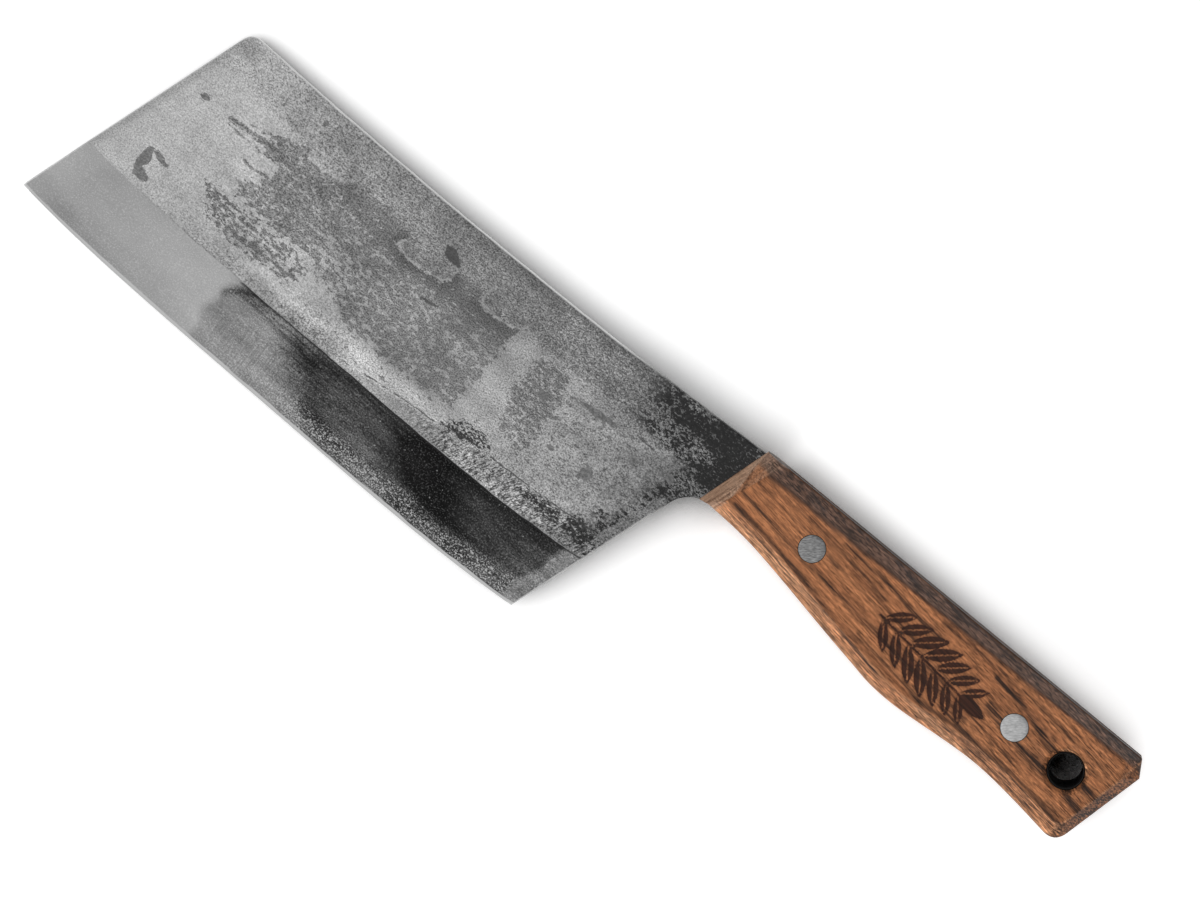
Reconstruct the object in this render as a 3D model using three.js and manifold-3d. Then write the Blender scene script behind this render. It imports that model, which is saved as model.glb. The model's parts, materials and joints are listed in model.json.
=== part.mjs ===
// A forged kitchen cleaver lying on its side, with riveted wooden scales on a full tang.
// Millimetres, +Z up. The knife is drawn flat, with x from the handle front towards the butt,
// y towards the spine and z out of the upper side, and is then laid down as it rests on a table.
import * as THREE from "three";
import { mergeVertices } from "three/addons/utils/BufferGeometryUtils.js";
import Module from "manifold-3d";

const wasm = await Module();
wasm.setup();

// Blade outline
const bladeLength = 172; // along the spine, from the handle front to the front corner
const bladeHeight = 69; // from the spine line down to the tip
const frontSlant = 18.7; // degrees, the front edge leans forward towards the tip
const spineHollow = 2.1; // the hammered spine sags this far in the middle
const edgeBelly = 2.2; // the cutting edge bulges this far below the line from heel to tip
const heelDepth = 72; // from the spine line down to the heel corner
const heelSlant = 17.8; // degrees, the back of the blade leans forward towards the heel
const choilRadius = 9.5; // hollow between the heel and the neck of the handle
const choilLead = 3.4; // the hollow runs out this far behind the handle's lower front corner
const frontCornerRadius = 3;

// Blade section
const tangThickness = 3.6;
const taperStart = 8; // the plate keeps the tang's thickness this far ahead of the handle front
const frontThickness = 2.6; // the blade tapers to this at its front corner
const grindWidth = 20.5; // ground bevel, up from the cutting edge
const edgeBevelWidth = 0.9; // honed bevel at the cutting edge
const edgeBevelThickness = 0.8; // where the honed bevel starts
const edgeThickness = 0.15;

// Handle outline
const handleLength = 125; // along the top, from the handle front to the butt
const handleRise = 0.8; // the handle stands this far above the spine
const handleFrontSlant = 16.5; // degrees
const neckDepth = 19; // the depths are measured down from the spine line
const bellyDepth = 28.5;
const waistDepth = 26.7;
const buttDepth = 29.6;
const bellyFromFront = 63;
const waistFromButt = 34;
const neckRun = 0.14; // share of the swell that is reached a quarter of the way to the belly
const bellyRun = 0.22; // share of the swell that is left a quarter of the way before the belly
const buttSlant = 12.9; // degrees, the butt leans back towards the top
const buttCutDown = 4.2; // flat cut across the upper corner of the butt
const buttCutAlong = 3.5;
const buttRound = 4; // from the lower corner to where its round starts and ends

// Handle section
const handleThickness = 20;
const glueLine = 0.15; // between the tang and each scale
const sideHeight = 3.4; // upright side of a scale, from its inner face
const topBevelFront = 3.8; // plan widths of the slopes from the side up to the flat
const topBevelRear = 2.4;
const undersideBevel = 4.1;
const buttBevel = 3.2;
const frontRamp = 4.9; // the front end slopes from the blade up to the flat, in two facets
const frontTwist = 0.07; // the facet at the top widens this much per millimetre above their ridge
const ridgeFootDepth = 0.3; // the ridge climbs from this depth at the blade to the next one at the flat
const ridgeTopDepth = 14.5;
const ridgeRoom = 0.3; // the ridge stays this far above the lower front corner

// Rivets and hanging hole
const rivetHeadDiameter = 7;
const rivetHeadDepth = 2.2;
const sleeveDiameter = 4.8;
const pinDiameter = 3;
const rivetOverlapShort = 1.5; // sleeve and pin each end this far short of the other's head
const rivetClearance = 0.12; // all round a rivet in its hole, and the pin in its sleeve
const frontRivetFromFront = 24.4;
const frontRivetDepth = 10.6;
const rearRivetFromButt = 33.2;
const rearRivetDepth = 13;
const holeFromButt = 16.5;
const holeDepth = 13.3;
const tubeDiameter = 9.5;
const tubeWall = 0.4;
const tubeClearance = 0.12;
const holeCountersink = 1.1; // slope round the mouth of the hanging hole
const tubeSetback = 0.2; // from the foot of that slope to the tube's end

// Facets
const outlineSteps = 40;
const choilSteps = 12;
const cornerSteps = 6;
const grindSteps = 24;
const roundSides = 40;
const cutterReach = 2; // cutters run this far past what they cut
const meetingPasses = 12; // turns of the search for where two outlines meet

const radians = THREE.MathUtils.degToRad;
const lerp = THREE.MathUtils.lerp;
const point = (x, y) => new THREE.Vector2(x, y);

// Lines of the blade in plan
const frontSlope = Math.tan(radians(frontSlant));
const heelSlope = Math.tan(radians(heelSlant));
const frontX = (y) => y * frontSlope - bladeLength;
const tip = point(frontX(-bladeHeight), -bladeHeight);
const spineY = (x) => (4 * spineHollow * x * (bladeLength + x)) / bladeLength ** 2;

function halfThickness(x) {
  const along = Math.max(0, (-x - taperStart) / (bladeLength - taperStart));
  return lerp(tangThickness, frontThickness, along) / 2;
}

// Lines of the handle in plan
const handleFrontSlope = Math.tan(radians(handleFrontSlant));
const buttSlope = Math.tan(radians(buttSlant));
const handleFrontX = (y) => (y - handleRise) * handleFrontSlope;
const buttX = (y) => handleLength + (y - handleRise) * buttSlope;

// The choil is an arc that leaves the heel line and runs level into the neck
const choilTurn = Math.PI / 2 - radians(heelSlant);
const neckX = handleFrontX(-neckDepth) + choilLead;
const choilFoot = point(
  neckX - choilRadius * Math.sin(choilTurn),
  -neckDepth - choilRadius * (1 - Math.cos(choilTurn)),
);
const heel = point(choilFoot.x - (heelDepth + choilFoot.y) * heelSlope, -heelDepth);

function choilPoints() {
  const arc = new THREE.EllipseCurve(
    neckX, -neckDepth - choilRadius, choilRadius, choilRadius,
    Math.PI / 2 + choilTurn, Math.PI / 2, true,
  );
  return arc.getPoints(choilSteps);
}

// The cutting edge bulges evenly between its ends
function edgeY(x) {
  const along = (heel.x - x) / (heel.x - tip.x);
  return lerp(heel.y, tip.y, along) - edgeBelly * (1 - (2 * along - 1) ** 4);
}

// The grip swells from the neck to the belly, draws in at the waist and flares at the butt
function gripPoints() {
  const waistX = handleLength - waistFromButt;
  const quarter = (bellyFromFront - neckX) / 4;
  const drop = bellyDepth - neckDepth;
  const curve = new THREE.SplineCurve([
    point(neckX, -neckDepth),
    point(neckX + quarter, -neckDepth - drop * neckRun),
    point(bellyFromFront - quarter, -bellyDepth + drop * bellyRun),
    point(bellyFromFront, -bellyDepth),
    point(waistX, -waistDepth),
    point(buttX(-buttDepth), -buttDepth),
  ]);
  return curve.getPoints(outlineSteps);
}

const underside = [...choilPoints(), ...gripPoints().slice(1)];

function undersideY(x) {
  const found = underside.findIndex((p, i) => i > 0 && p.x >= x);
  const next = found === -1 ? underside.length - 1 : found;
  const a = underside[next - 1];
  const b = underside[next];
  return lerp(a.y, b.y, (x - a.x) / (b.x - a.x));
}

// The height at which a line along the handle, as y over x, meets a line across it, as x over y
function meetingY(acrossX, alongY) {
  let y = 0;
  for (let pass = 0; pass < meetingPasses; pass += 1) {
    y = alongY(acrossX(y));
  }
  return y;
}

// Handle outline, anticlockwise from the lower front corner. The front is drawn in by a share of
// its slope, and the other sides by a share of their bevels.
function handleOutline({ rise = 0, drawn = 0 } = {}) {
  const underLineY = (x) => undersideY(x) + undersideBevel * drawn;
  const topLineY = (x) => handleRise - drawn * lerp(topBevelFront, topBevelRear, x / handleLength);
  const buttLineX = (y) => buttX(y) - buttBevel * drawn;
  const climb = -lerp(ridgeFootDepth, ridgeTopDepth, rise);
  const frontLineX = (y) => handleFrontX(y) + frontRamp * rise + frontTwist * Math.max(0, y - climb);
  const startY = meetingY(frontLineX, underLineY);
  const cornerY = meetingY(buttLineX, underLineY);
  const corner = point(buttLineX(cornerY), cornerY);
  const outline = [];
  for (let i = 0; i <= outlineSteps; i += 1) {
    const x = lerp(frontLineX(startY), corner.x - buttRound, i / outlineSteps);
    outline.push(point(x, underLineY(x)));
  }
  const roundEnd = point(buttLineX(cornerY + buttRound), cornerY + buttRound);
  const round = new THREE.QuadraticBezierCurve(outline[outlineSteps], corner, roundEnd);
  outline.push(...round.getPoints(cornerSteps).slice(1));
  const buttTopY = meetingY(buttLineX, topLineY);
  const cutX = buttLineX(buttTopY) - buttCutAlong;
  outline.push(point(buttLineX(buttTopY - buttCutDown), buttTopY - buttCutDown));
  outline.push(point(cutX, topLineY(cutX)));
  const frontTopY = meetingY(frontLineX, topLineY);
  const ridgeY = Math.max(climb, startY + ridgeRoom);
  outline.push(point(frontLineX(frontTopY), frontTopY));
  outline.push(point(frontLineX(ridgeY), ridgeY));
  return outline;
}

// Solids from geometry and back
function solidOf(geometry) {
  const bare = geometry.clone();
  bare.deleteAttribute("normal");
  bare.deleteAttribute("uv");
  const merged = mergeVertices(bare, 1e-4);
  return new wasm.Manifold(
    new wasm.Mesh({
      numProp: 3,
      vertProperties: new Float32Array(merged.attributes.position.array),
      triVerts: new Uint32Array(merged.index.array),
    }),
  );
}

function geometryOf(solid) {
  const mesh = solid.getMesh();
  const geometry = new THREE.BufferGeometry();
  geometry.setAttribute("position", new THREE.BufferAttribute(mesh.vertProperties, 3));
  geometry.setIndex(new THREE.BufferAttribute(mesh.triVerts, 1));
  geometry.computeVertexNormals();
  return geometry;
}

function cut(geometry, cutters) {
  const solid = cutters.reduce((left, cutter) => left.subtract(solidOf(cutter)), solidOf(geometry));
  return geometryOf(solid);
}

// A skin over rings of the same number of points, closed by flat ends
function loft(rings) {
  const count = rings[0].length;
  const positions = rings.flat().flatMap((p) => [p.x, p.y, p.z]);
  const index = [];
  for (let r = 0; r + 1 < rings.length; r += 1) {
    for (let i = 0; i < count; i += 1) {
      const a = r * count + i;
      const b = r * count + ((i + 1) % count);
      index.push(a, b, b + count, a, b + count, a + count);
    }
  }
  const endFaces = (ring) => THREE.ShapeUtils.triangulateShape(ring.map(capPoint(ring)), []);
  const last = (rings.length - 1) * count;
  for (const [a, b, c] of endFaces(rings[0])) {
    index.push(a, c, b);
  }
  for (const [a, b, c] of endFaces(rings[rings.length - 1])) {
    index.push(last + a, last + b, last + c);
  }
  const geometry = new THREE.BufferGeometry();
  geometry.setAttribute("position", new THREE.Float32BufferAttribute(positions, 3));
  geometry.setIndex(index);
  return geometry;
}

// A ring's points on the plane that it lies in: level rings in x and y, upright ones in y and z
function capPoint(ring) {
  const level = ring.every((p) => p.z === ring[0].z);
  return (p) => (level ? point(p.x, p.y) : point(p.y, p.z));
}

// A round piece or cutter turned about the z axis, from (radius, z) pairs
function turned(profile) {
  const outline = profile.map(([radius, z]) => point(radius, z));
  return new THREE.LatheGeometry(outline, roundSides).rotateX(Math.PI / 2);
}

// Places of the rivets and the hanging hole
const frontRivet = point(frontRivetFromFront, -frontRivetDepth);
const rearRivet = point(handleLength - rearRivetFromButt, -rearRivetDepth);
const hangingHole = point(handleLength - holeFromButt, -holeDepth);
const sleeveRadius = sleeveDiameter / 2;
const tubeRadius = tubeDiameter / 2;

// Blade and tang in one plate
function bladePlate() {
  const shape = new THREE.Shape();
  shape.moveTo(tip.x, tip.y);
  for (let i = 1; i <= outlineSteps; i += 1) {
    const x = lerp(tip.x, heel.x, i / outlineSteps);
    shape.lineTo(x, edgeY(x));
  }
  const handle = handleOutline().slice(0, -2);
  const choil = choilPoints().filter((p) => p.x < handle[0].x);
  for (const p of [...choil, ...handle, point(0, handleRise)]) {
    shape.lineTo(p.x, p.y);
  }
  for (let i = 0; i <= outlineSteps; i += 1) {
    const x = lerp(0, frontCornerRadius - bladeLength, i / outlineSteps);
    shape.lineTo(x, spineY(x));
  }
  shape.quadraticCurveTo(-bladeLength, 0, frontX(-frontCornerRadius), -frontCornerRadius);
  shape.closePath();
  for (const [centre, radius] of [
    [frontRivet, sleeveRadius + rivetClearance],
    [rearRivet, sleeveRadius + rivetClearance],
    [hangingHole, tubeRadius + tubeClearance],
  ]) {
    shape.holes.push(new THREE.Path().absarc(centre.x, centre.y, radius, 0, 2 * Math.PI, true));
  }
  const plate = new THREE.ExtrudeGeometry(shape, {
    depth: tangThickness,
    bevelEnabled: false,
    curveSegments: roundSides / 2,
  });
  return plate.translate(0, 0, -tangThickness / 2);
}

// What is taken off one side of the plate so that it thins from the handle to the front
function taperCutter(side) {
  const farX = tip.x - cutterReach;
  const outline = new THREE.Shape([
    point(-taperStart, tangThickness / 2),
    point(farX, tangThickness / 2 + cutterReach),
    point(farX, halfThickness(farX)),
  ]);
  const wide = 4 * heelDepth;
  const wedge = new THREE.ExtrudeGeometry(outline, { depth: wide, bevelEnabled: false });
  wedge.translate(0, 0, -wide / 2).rotateX(Math.PI / 2);
  return side > 0 ? wedge : wedge.rotateX(Math.PI);
}

// What the grinding wheel and the hone take off one side
function grindCutter(side) {
  const startX = tip.x - cutterReach;
  const endX = heel.x + grindWidth * heelSlope + cutterReach;
  const honeSlope = (edgeBevelThickness - edgeThickness) / 2 / edgeBevelWidth;
  const rings = [];
  for (let i = 0; i <= grindSteps; i += 1) {
    const x = lerp(startX, endX, i / grindSteps);
    const half = halfThickness(x);
    const grindSlope = (half - edgeBevelThickness / 2) / (grindWidth - edgeBevelWidth);
    const outY = edgeY(x) - cutterReach;
    const inY = edgeY(x) + grindWidth + cutterReach;
    const section = [
      [inY, half + cutterReach * grindSlope],
      [inY, tangThickness],
      [outY, tangThickness],
      [outY, edgeThickness / 2 - cutterReach * honeSlope],
      [edgeY(x) + edgeBevelWidth, edgeBevelThickness / 2],
    ];
    const ring = section.map(([y, z]) => new THREE.Vector3(x, y, side * z));
    rings.push(side > 0 ? ring : ring.reverse());
  }
  return loft(rings);
}

function bladeGeometry() {
  return cut(bladePlate(), [taperCutter(1), taperCutter(-1), grindCutter(1), grindCutter(-1)]);
}

// One scale on its inner face, with its seats for the rivets and the hanging hole
const scaleThickness = handleThickness / 2 - tangThickness / 2 - glueLine;
const atSide = { rise: sideHeight / scaleThickness };
const atFlat = { rise: 1, drawn: 1 };

function scaleGeometry() {
  const level = (z, shares) => handleOutline(shares).map((p) => new THREE.Vector3(p.x, p.y, z));
  const block = loft([level(0), level(sideHeight, atSide), level(scaleThickness, atFlat)]);
  const belowScale = -cutterReach;
  const aboveScale = scaleThickness + cutterReach;
  const headRadius = rivetHeadDiameter / 2 + rivetClearance;
  const shankRadius = sleeveRadius + rivetClearance;
  const headSeat = scaleThickness - rivetHeadDepth - rivetClearance;
  const rivetSeat = turned([
    [0, belowScale],
    [shankRadius, belowScale],
    [shankRadius, headSeat],
    [headRadius, headSeat],
    [headRadius, aboveScale],
    [0, aboveScale],
  ]);
  const boreRadius = tubeRadius + tubeClearance;
  const hole = turned([
    [0, belowScale],
    [boreRadius, belowScale],
    [boreRadius, scaleThickness - holeCountersink],
    [boreRadius + holeCountersink + cutterReach, aboveScale],
    [0, aboveScale],
  ]);
  return cut(block, [
    rivetSeat.clone().translate(frontRivet.x, frontRivet.y, 0),
    rivetSeat.clone().translate(rearRivet.x, rearRivet.y, 0),
    hole.translate(hangingHole.x, hangingHole.y, 0),
  ]);
}

// Rivet halves, with their heads flush with the flats
const headTop = handleThickness / 2;
const headFoot = headTop - rivetHeadDepth;
const shankEnd = rivetOverlapShort - headFoot;

function sleeveGeometry() {
  const boreRadius = pinDiameter / 2 + rivetClearance;
  return turned([
    [0, headFoot],
    [boreRadius, headFoot],
    [boreRadius, shankEnd],
    [sleeveRadius, shankEnd],
    [sleeveRadius, headFoot],
    [rivetHeadDiameter / 2, headFoot],
    [rivetHeadDiameter / 2, headTop],
    [0, headTop],
  ]);
}

function pinGeometry() {
  return turned([
    [0, -headTop],
    [rivetHeadDiameter / 2, -headTop],
    [rivetHeadDiameter / 2, -headFoot],
    [pinDiameter / 2, -headFoot],
    [pinDiameter / 2, -shankEnd],
    [0, -shankEnd],
  ]);
}

function tubeGeometry() {
  const half = handleThickness / 2 - holeCountersink - tubeSetback;
  return turned([
    [tubeRadius - tubeWall, -half],
    [tubeRadius, -half],
    [tubeRadius, half],
    [tubeRadius - tubeWall, half],
    [tubeRadius - tubeWall, -half],
  ]);
}

// Materials
const finish = (color, roughness, metalness) =>
  new THREE.MeshStandardMaterial({ color, roughness, metalness });
const forgedSteel = finish(0x55565a, 0.5, 0.9);
const walnut = finish(0x7a4a2a, 0.6, 0);
const rivetMetal = finish(0xa9adb5, 0.4, 1);
const blackTube = finish(0x141414, 0.5, 0.2);

function part(name, geometry, material, x = 0, y = 0, z = 0) {
  const mesh = new THREE.Mesh(geometry, material);
  mesh.name = name;
  mesh.position.set(x, y, z);
  return mesh;
}

// The knife, drawn flat
const knife = new THREE.Group();
knife.add(part("blade", bladeGeometry(), forgedSteel));

const scaleSeat = tangThickness / 2 + glueLine;
const lowerScale = part("lower_scale", scaleGeometry(), walnut, 0, 0, -scaleSeat);
lowerScale.scale.z = -1;
knife.add(part("upper_scale", scaleGeometry(), walnut, 0, 0, scaleSeat), lowerScale);

for (const [name, place] of [["front_rivet", frontRivet], ["rear_rivet", rearRivet]]) {
  knife.add(part(name + "_sleeve", sleeveGeometry(), rivetMetal, place.x, place.y));
  knife.add(part(name + "_pin", pinGeometry(), rivetMetal, place.x, place.y));
}
knife.add(part("lanyard_tube", tubeGeometry(), blackTube, hangingHole.x, hangingHole.y));

// Laid on a table, it touches with the front corner of the lower flat and with two points of
// the front edge: where the ground bevel starts and where the honed bevel starts
function restNormal() {
  const corner = handleOutline(atFlat)[0];
  const handleFoot = new THREE.Vector3(corner.x, corner.y, -handleThickness / 2);
  const frontFoot = (y, half) => new THREE.Vector3(frontX(y), y, -half);
  const grindY = tip.y + grindWidth;
  const grindFoot = frontFoot(grindY, halfThickness(frontX(grindY)));
  const tipFoot = frontFoot(tip.y + edgeBevelWidth, edgeBevelThickness / 2);
  return new THREE.Plane().setFromCoplanarPoints(handleFoot, grindFoot, tipFoot).normal;
}

knife.quaternion.setFromUnitVectors(restNormal(), new THREE.Vector3(0, 0, 1));

// The origin is under the middle of the knife, on the table
const cleaver = new THREE.Group();
cleaver.add(knife);
cleaver.updateMatrixWorld(true);
const extent = new THREE.Box3().setFromObject(cleaver, true);
const middle = extent.getCenter(new THREE.Vector3());
knife.position.set(-middle.x, -middle.y, -extent.min.z);

export default cleaver;
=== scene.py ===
"""The looks of a forged cleaver: scaled and ground steel, riveted walnut grips and a lined hanging hole.

The pieces are drawn in the knife's own millimetres, with x from the handle front towards the butt, y towards
the spine and z out of the upper side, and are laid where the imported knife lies.
"""
import json
import math

import bmesh
import bpy
import numpy as np
from mathutils import Matrix, Vector
from mathutils.geometry import delaunay_2d_cdt
from mathutils.kdtree import KDTree

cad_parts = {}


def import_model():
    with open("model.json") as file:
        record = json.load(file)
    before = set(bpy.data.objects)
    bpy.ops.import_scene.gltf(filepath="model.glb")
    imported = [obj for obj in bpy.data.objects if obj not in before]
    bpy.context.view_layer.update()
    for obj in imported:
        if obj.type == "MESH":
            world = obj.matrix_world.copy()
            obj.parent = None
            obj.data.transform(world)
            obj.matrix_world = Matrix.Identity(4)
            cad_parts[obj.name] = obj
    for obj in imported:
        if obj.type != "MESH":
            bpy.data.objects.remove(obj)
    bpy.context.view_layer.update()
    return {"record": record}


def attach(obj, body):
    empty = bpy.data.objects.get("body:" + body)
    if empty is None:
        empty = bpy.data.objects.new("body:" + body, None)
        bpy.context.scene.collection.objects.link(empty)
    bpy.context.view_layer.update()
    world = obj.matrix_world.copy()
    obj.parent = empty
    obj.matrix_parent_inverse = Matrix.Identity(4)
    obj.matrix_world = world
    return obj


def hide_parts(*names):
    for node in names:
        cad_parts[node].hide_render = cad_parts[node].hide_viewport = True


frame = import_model()

MM = 0.001
WELD = 1e-7  # distance under which points are one

# Sizes of the knife, in millimetres and degrees
BLADE_LENGTH = 172
BLADE_HEIGHT = 69
FRONT_SLANT = 18.7
SPINE_HOLLOW = 2.1
EDGE_BELLY = 2.2
HEEL_DEPTH = 72
HEEL_SLANT = 17.8
CHOIL_RADIUS = 9.5
CHOIL_LEAD = 3.4
FRONT_CORNER = 3
TANG_THICKNESS = 3.6
TAPER_START = 8
FRONT_THICKNESS = 2.6
GRIND_WIDTH = 20.5
HONE_WIDTH = 0.9
HONE_THICKNESS = 0.8
EDGE_THICKNESS = 0.15

HANDLE_LENGTH = 125
HANDLE_RISE = 0.8
HANDLE_FRONT_SLANT = 16.5
NECK_DEPTH = 19
BELLY_DEPTH = 28.5
WAIST_DEPTH = 26.7
BUTT_DEPTH = 29.6
BELLY_FROM_FRONT = 63
WAIST_FROM_BUTT = 34
NECK_RUN = 0.14
BELLY_RUN = 0.22
BUTT_SLANT = 12.9
BUTT_CUT_DOWN = 4.2
BUTT_CUT_ALONG = 3.5
BUTT_ROUND = 4
HANDLE_THICKNESS = 20
GLUE_LINE = 0.15
SIDE_HEIGHT = 3.4
TOP_BEVEL_FRONT = 3.8
TOP_BEVEL_REAR = 2.4
UNDERSIDE_BEVEL = 4.1
BUTT_BEVEL = 3.2
RAMP_WIDTH = 4.9  # of the front's slope next to the underside
RAMP_TWIST = 0.07  # how much wider its second facet gets per millimetre towards the spine
RIDGE_FOOT_DEPTH = 0.3  # the ridge climbs from this depth at the blade to the next one at the flat
RIDGE_TOP_DEPTH = 14.5

RIVET_HEAD = 7
RIVET_HEAD_DEPTH = 2.2
SLEEVE = 4.8
PIN = 3
RIVET_SHORT = 1.5
CLEARANCE = 0.12
FRONT_RIVET = (24.4, -10.6)
REAR_RIVET = (HANDLE_LENGTH - 33.2, -13)
HOLE = (HANDLE_LENGTH - 16.5, -13.3)
TUBE = 9.5
TUBE_WALL = 0.4
COUNTERSINK = 1.1
TUBE_SETBACK = 0.2

SCALE_THICKNESS = HANDLE_THICKNESS / 2 - TANG_THICKNESS / 2 - GLUE_LINE
SCALE_SEAT = TANG_THICKNESS / 2 + GLUE_LINE

# The camera, from the photograph's vanishing point, in the knife's millimetres
EYE = Vector((44.36, 65.05, 899.94))
AIM = Vector((-33.84, -26.41, 0))
KNIFE_TURN = 39.5  # degrees, how far the handle points down from the picture's right
FOCAL_PIXELS = 3541
PICTURE_WIDTH = 1200
SENSOR = 36


def slope(degrees):
    return math.tan(math.radians(degrees))


def smooth(value, low, high):
    share = np.clip((value - low) / (high - low), 0, 1)
    return share * share * (3 - 2 * share)


FLAT_POINT = (60, -13)  # where the record's mount lies on the lower flat


def resting_place():
    """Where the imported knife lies, from a known point of the lower flat and that flat's direction."""
    flat = next(m for m in frame["record"]["mounts"] if m["name"] == "lower_flat")
    flat_point = Vector((*FLAT_POINT, -HANDLE_THICKNESS / 2)) * MM
    turn = Vector((0, 0, 1)).rotation_difference(-Vector(flat["axis"]))
    place = Vector(flat["pos_m"]) - turn @ flat_point
    return Matrix.Translation(place) @ turn.to_matrix().to_4x4()


PLACE = resting_place()


# Outlines in plan
def front_x(y):
    return y * slope(FRONT_SLANT) - BLADE_LENGTH


def spine_y(x):
    return 4 * SPINE_HOLLOW * x * (BLADE_LENGTH + x) / BLADE_LENGTH**2


def handle_front_x(y):
    return (y - HANDLE_RISE) * slope(HANDLE_FRONT_SLANT)


def butt_x(y):
    return HANDLE_LENGTH + (y - HANDLE_RISE) * slope(BUTT_SLANT)


def top_bevel(x):
    return TOP_BEVEL_FRONT + (TOP_BEVEL_REAR - TOP_BEVEL_FRONT) * x / HANDLE_LENGTH


def half_thickness(x):
    along = np.clip((-x - TAPER_START) / (BLADE_LENGTH - TAPER_START), 0, None)
    return (TANG_THICKNESS + (FRONT_THICKNESS - TANG_THICKNESS) * along) / 2


TIP = (front_x(-BLADE_HEIGHT), -BLADE_HEIGHT)
CHOIL_TURN = math.radians(90 - HEEL_SLANT)
NECK_X = handle_front_x(-NECK_DEPTH) + CHOIL_LEAD
CHOIL_FOOT = (
    NECK_X - CHOIL_RADIUS * math.sin(CHOIL_TURN),
    -NECK_DEPTH - CHOIL_RADIUS * (1 - math.cos(CHOIL_TURN)),
)
HEEL = (CHOIL_FOOT[0] - (HEEL_DEPTH + CHOIL_FOOT[1]) * slope(HEEL_SLANT), -HEEL_DEPTH)


def edge_y(x):
    along = (HEEL[0] - x) / (HEEL[0] - TIP[0])
    return HEEL[1] + (TIP[1] - HEEL[1]) * along - EDGE_BELLY * (1 - (2 * along - 1) ** 4)


CURVE_STEPS = 40


def choil_points():
    turn = np.linspace(math.pi / 2 + CHOIL_TURN, math.pi / 2, CURVE_STEPS)
    x = NECK_X + CHOIL_RADIUS * np.cos(turn)
    y = -NECK_DEPTH - CHOIL_RADIUS + CHOIL_RADIUS * np.sin(turn)
    return np.stack([x, y], -1)


def spline(points, steps):
    """A curve through points, its direction at each set by its two neighbours."""
    points = np.asarray(points, float)
    ends = np.concatenate([points[:1], points, points[-1:]])
    curve = []
    for i in range(len(points) - 1):
        before, start, end, after = ends[i : i + 4]
        leave, arrive = (end - before) / 2, (after - start) / 2
        for t in np.linspace(0, 1, steps, endpoint=False):
            a = 2 * t**3 - 3 * t**2 + 1
            b = t**3 - 2 * t**2 + t
            c = t**3 - t**2
            curve.append(a * start + b * leave + (1 - a) * end + c * arrive)
    curve.append(points[-1])
    return np.array(curve)


def grip_points():
    waist_x = HANDLE_LENGTH - WAIST_FROM_BUTT
    quarter = (BELLY_FROM_FRONT - NECK_X) / 4
    drop = BELLY_DEPTH - NECK_DEPTH
    stations = [
        (NECK_X, -NECK_DEPTH),
        (NECK_X + quarter, -NECK_DEPTH - drop * NECK_RUN),
        (BELLY_FROM_FRONT - quarter, -BELLY_DEPTH + drop * BELLY_RUN),
        (BELLY_FROM_FRONT, -BELLY_DEPTH),
        (waist_x, -WAIST_DEPTH),
        (butt_x(-BUTT_DEPTH), -BUTT_DEPTH),
    ]
    return spline(stations, CURVE_STEPS)


UNDERSIDE = np.concatenate([choil_points(), grip_points()[1:]])


def underside_y(x):
    last, end = UNDERSIDE[-2], UNDERSIDE[-1]
    beyond = end[1] + (np.asarray(x) - end[0]) * (end[1] - last[1]) / (end[0] - last[0])
    return np.where(np.asarray(x) > end[0], beyond, np.interp(x, UNDERSIDE[:, 0], UNDERSIDE[:, 1]))


MEETING_STEPS = 12  # tries that close in on the place where two lines meet


def meeting_y(line_x, raised):
    """How high a line that leans across the underside meets it, with the underside raised."""
    y = -NECK_DEPTH + raised
    for _ in range(MEETING_STEPS):
        y = float(underside_y(line_x(y))) + raised
    return y


def run(start, end, count):
    """Points from start towards end, without the end."""
    share = np.linspace(0, 1, count, endpoint=False)[:, None]
    return np.asarray(start, float) * (1 - share) + np.asarray(end, float) * share


LOWER_STEPS = 120
ROUND_STEPS = 10
BUTT_STEPS = 24
CUT_STEPS = 8
TOP_STEPS = 110
FRONT_STEPS = 14  # on each of the two front facets
RIDGE_ROOM = 0.3  # least distance of the ridge from the front's corners


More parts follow.
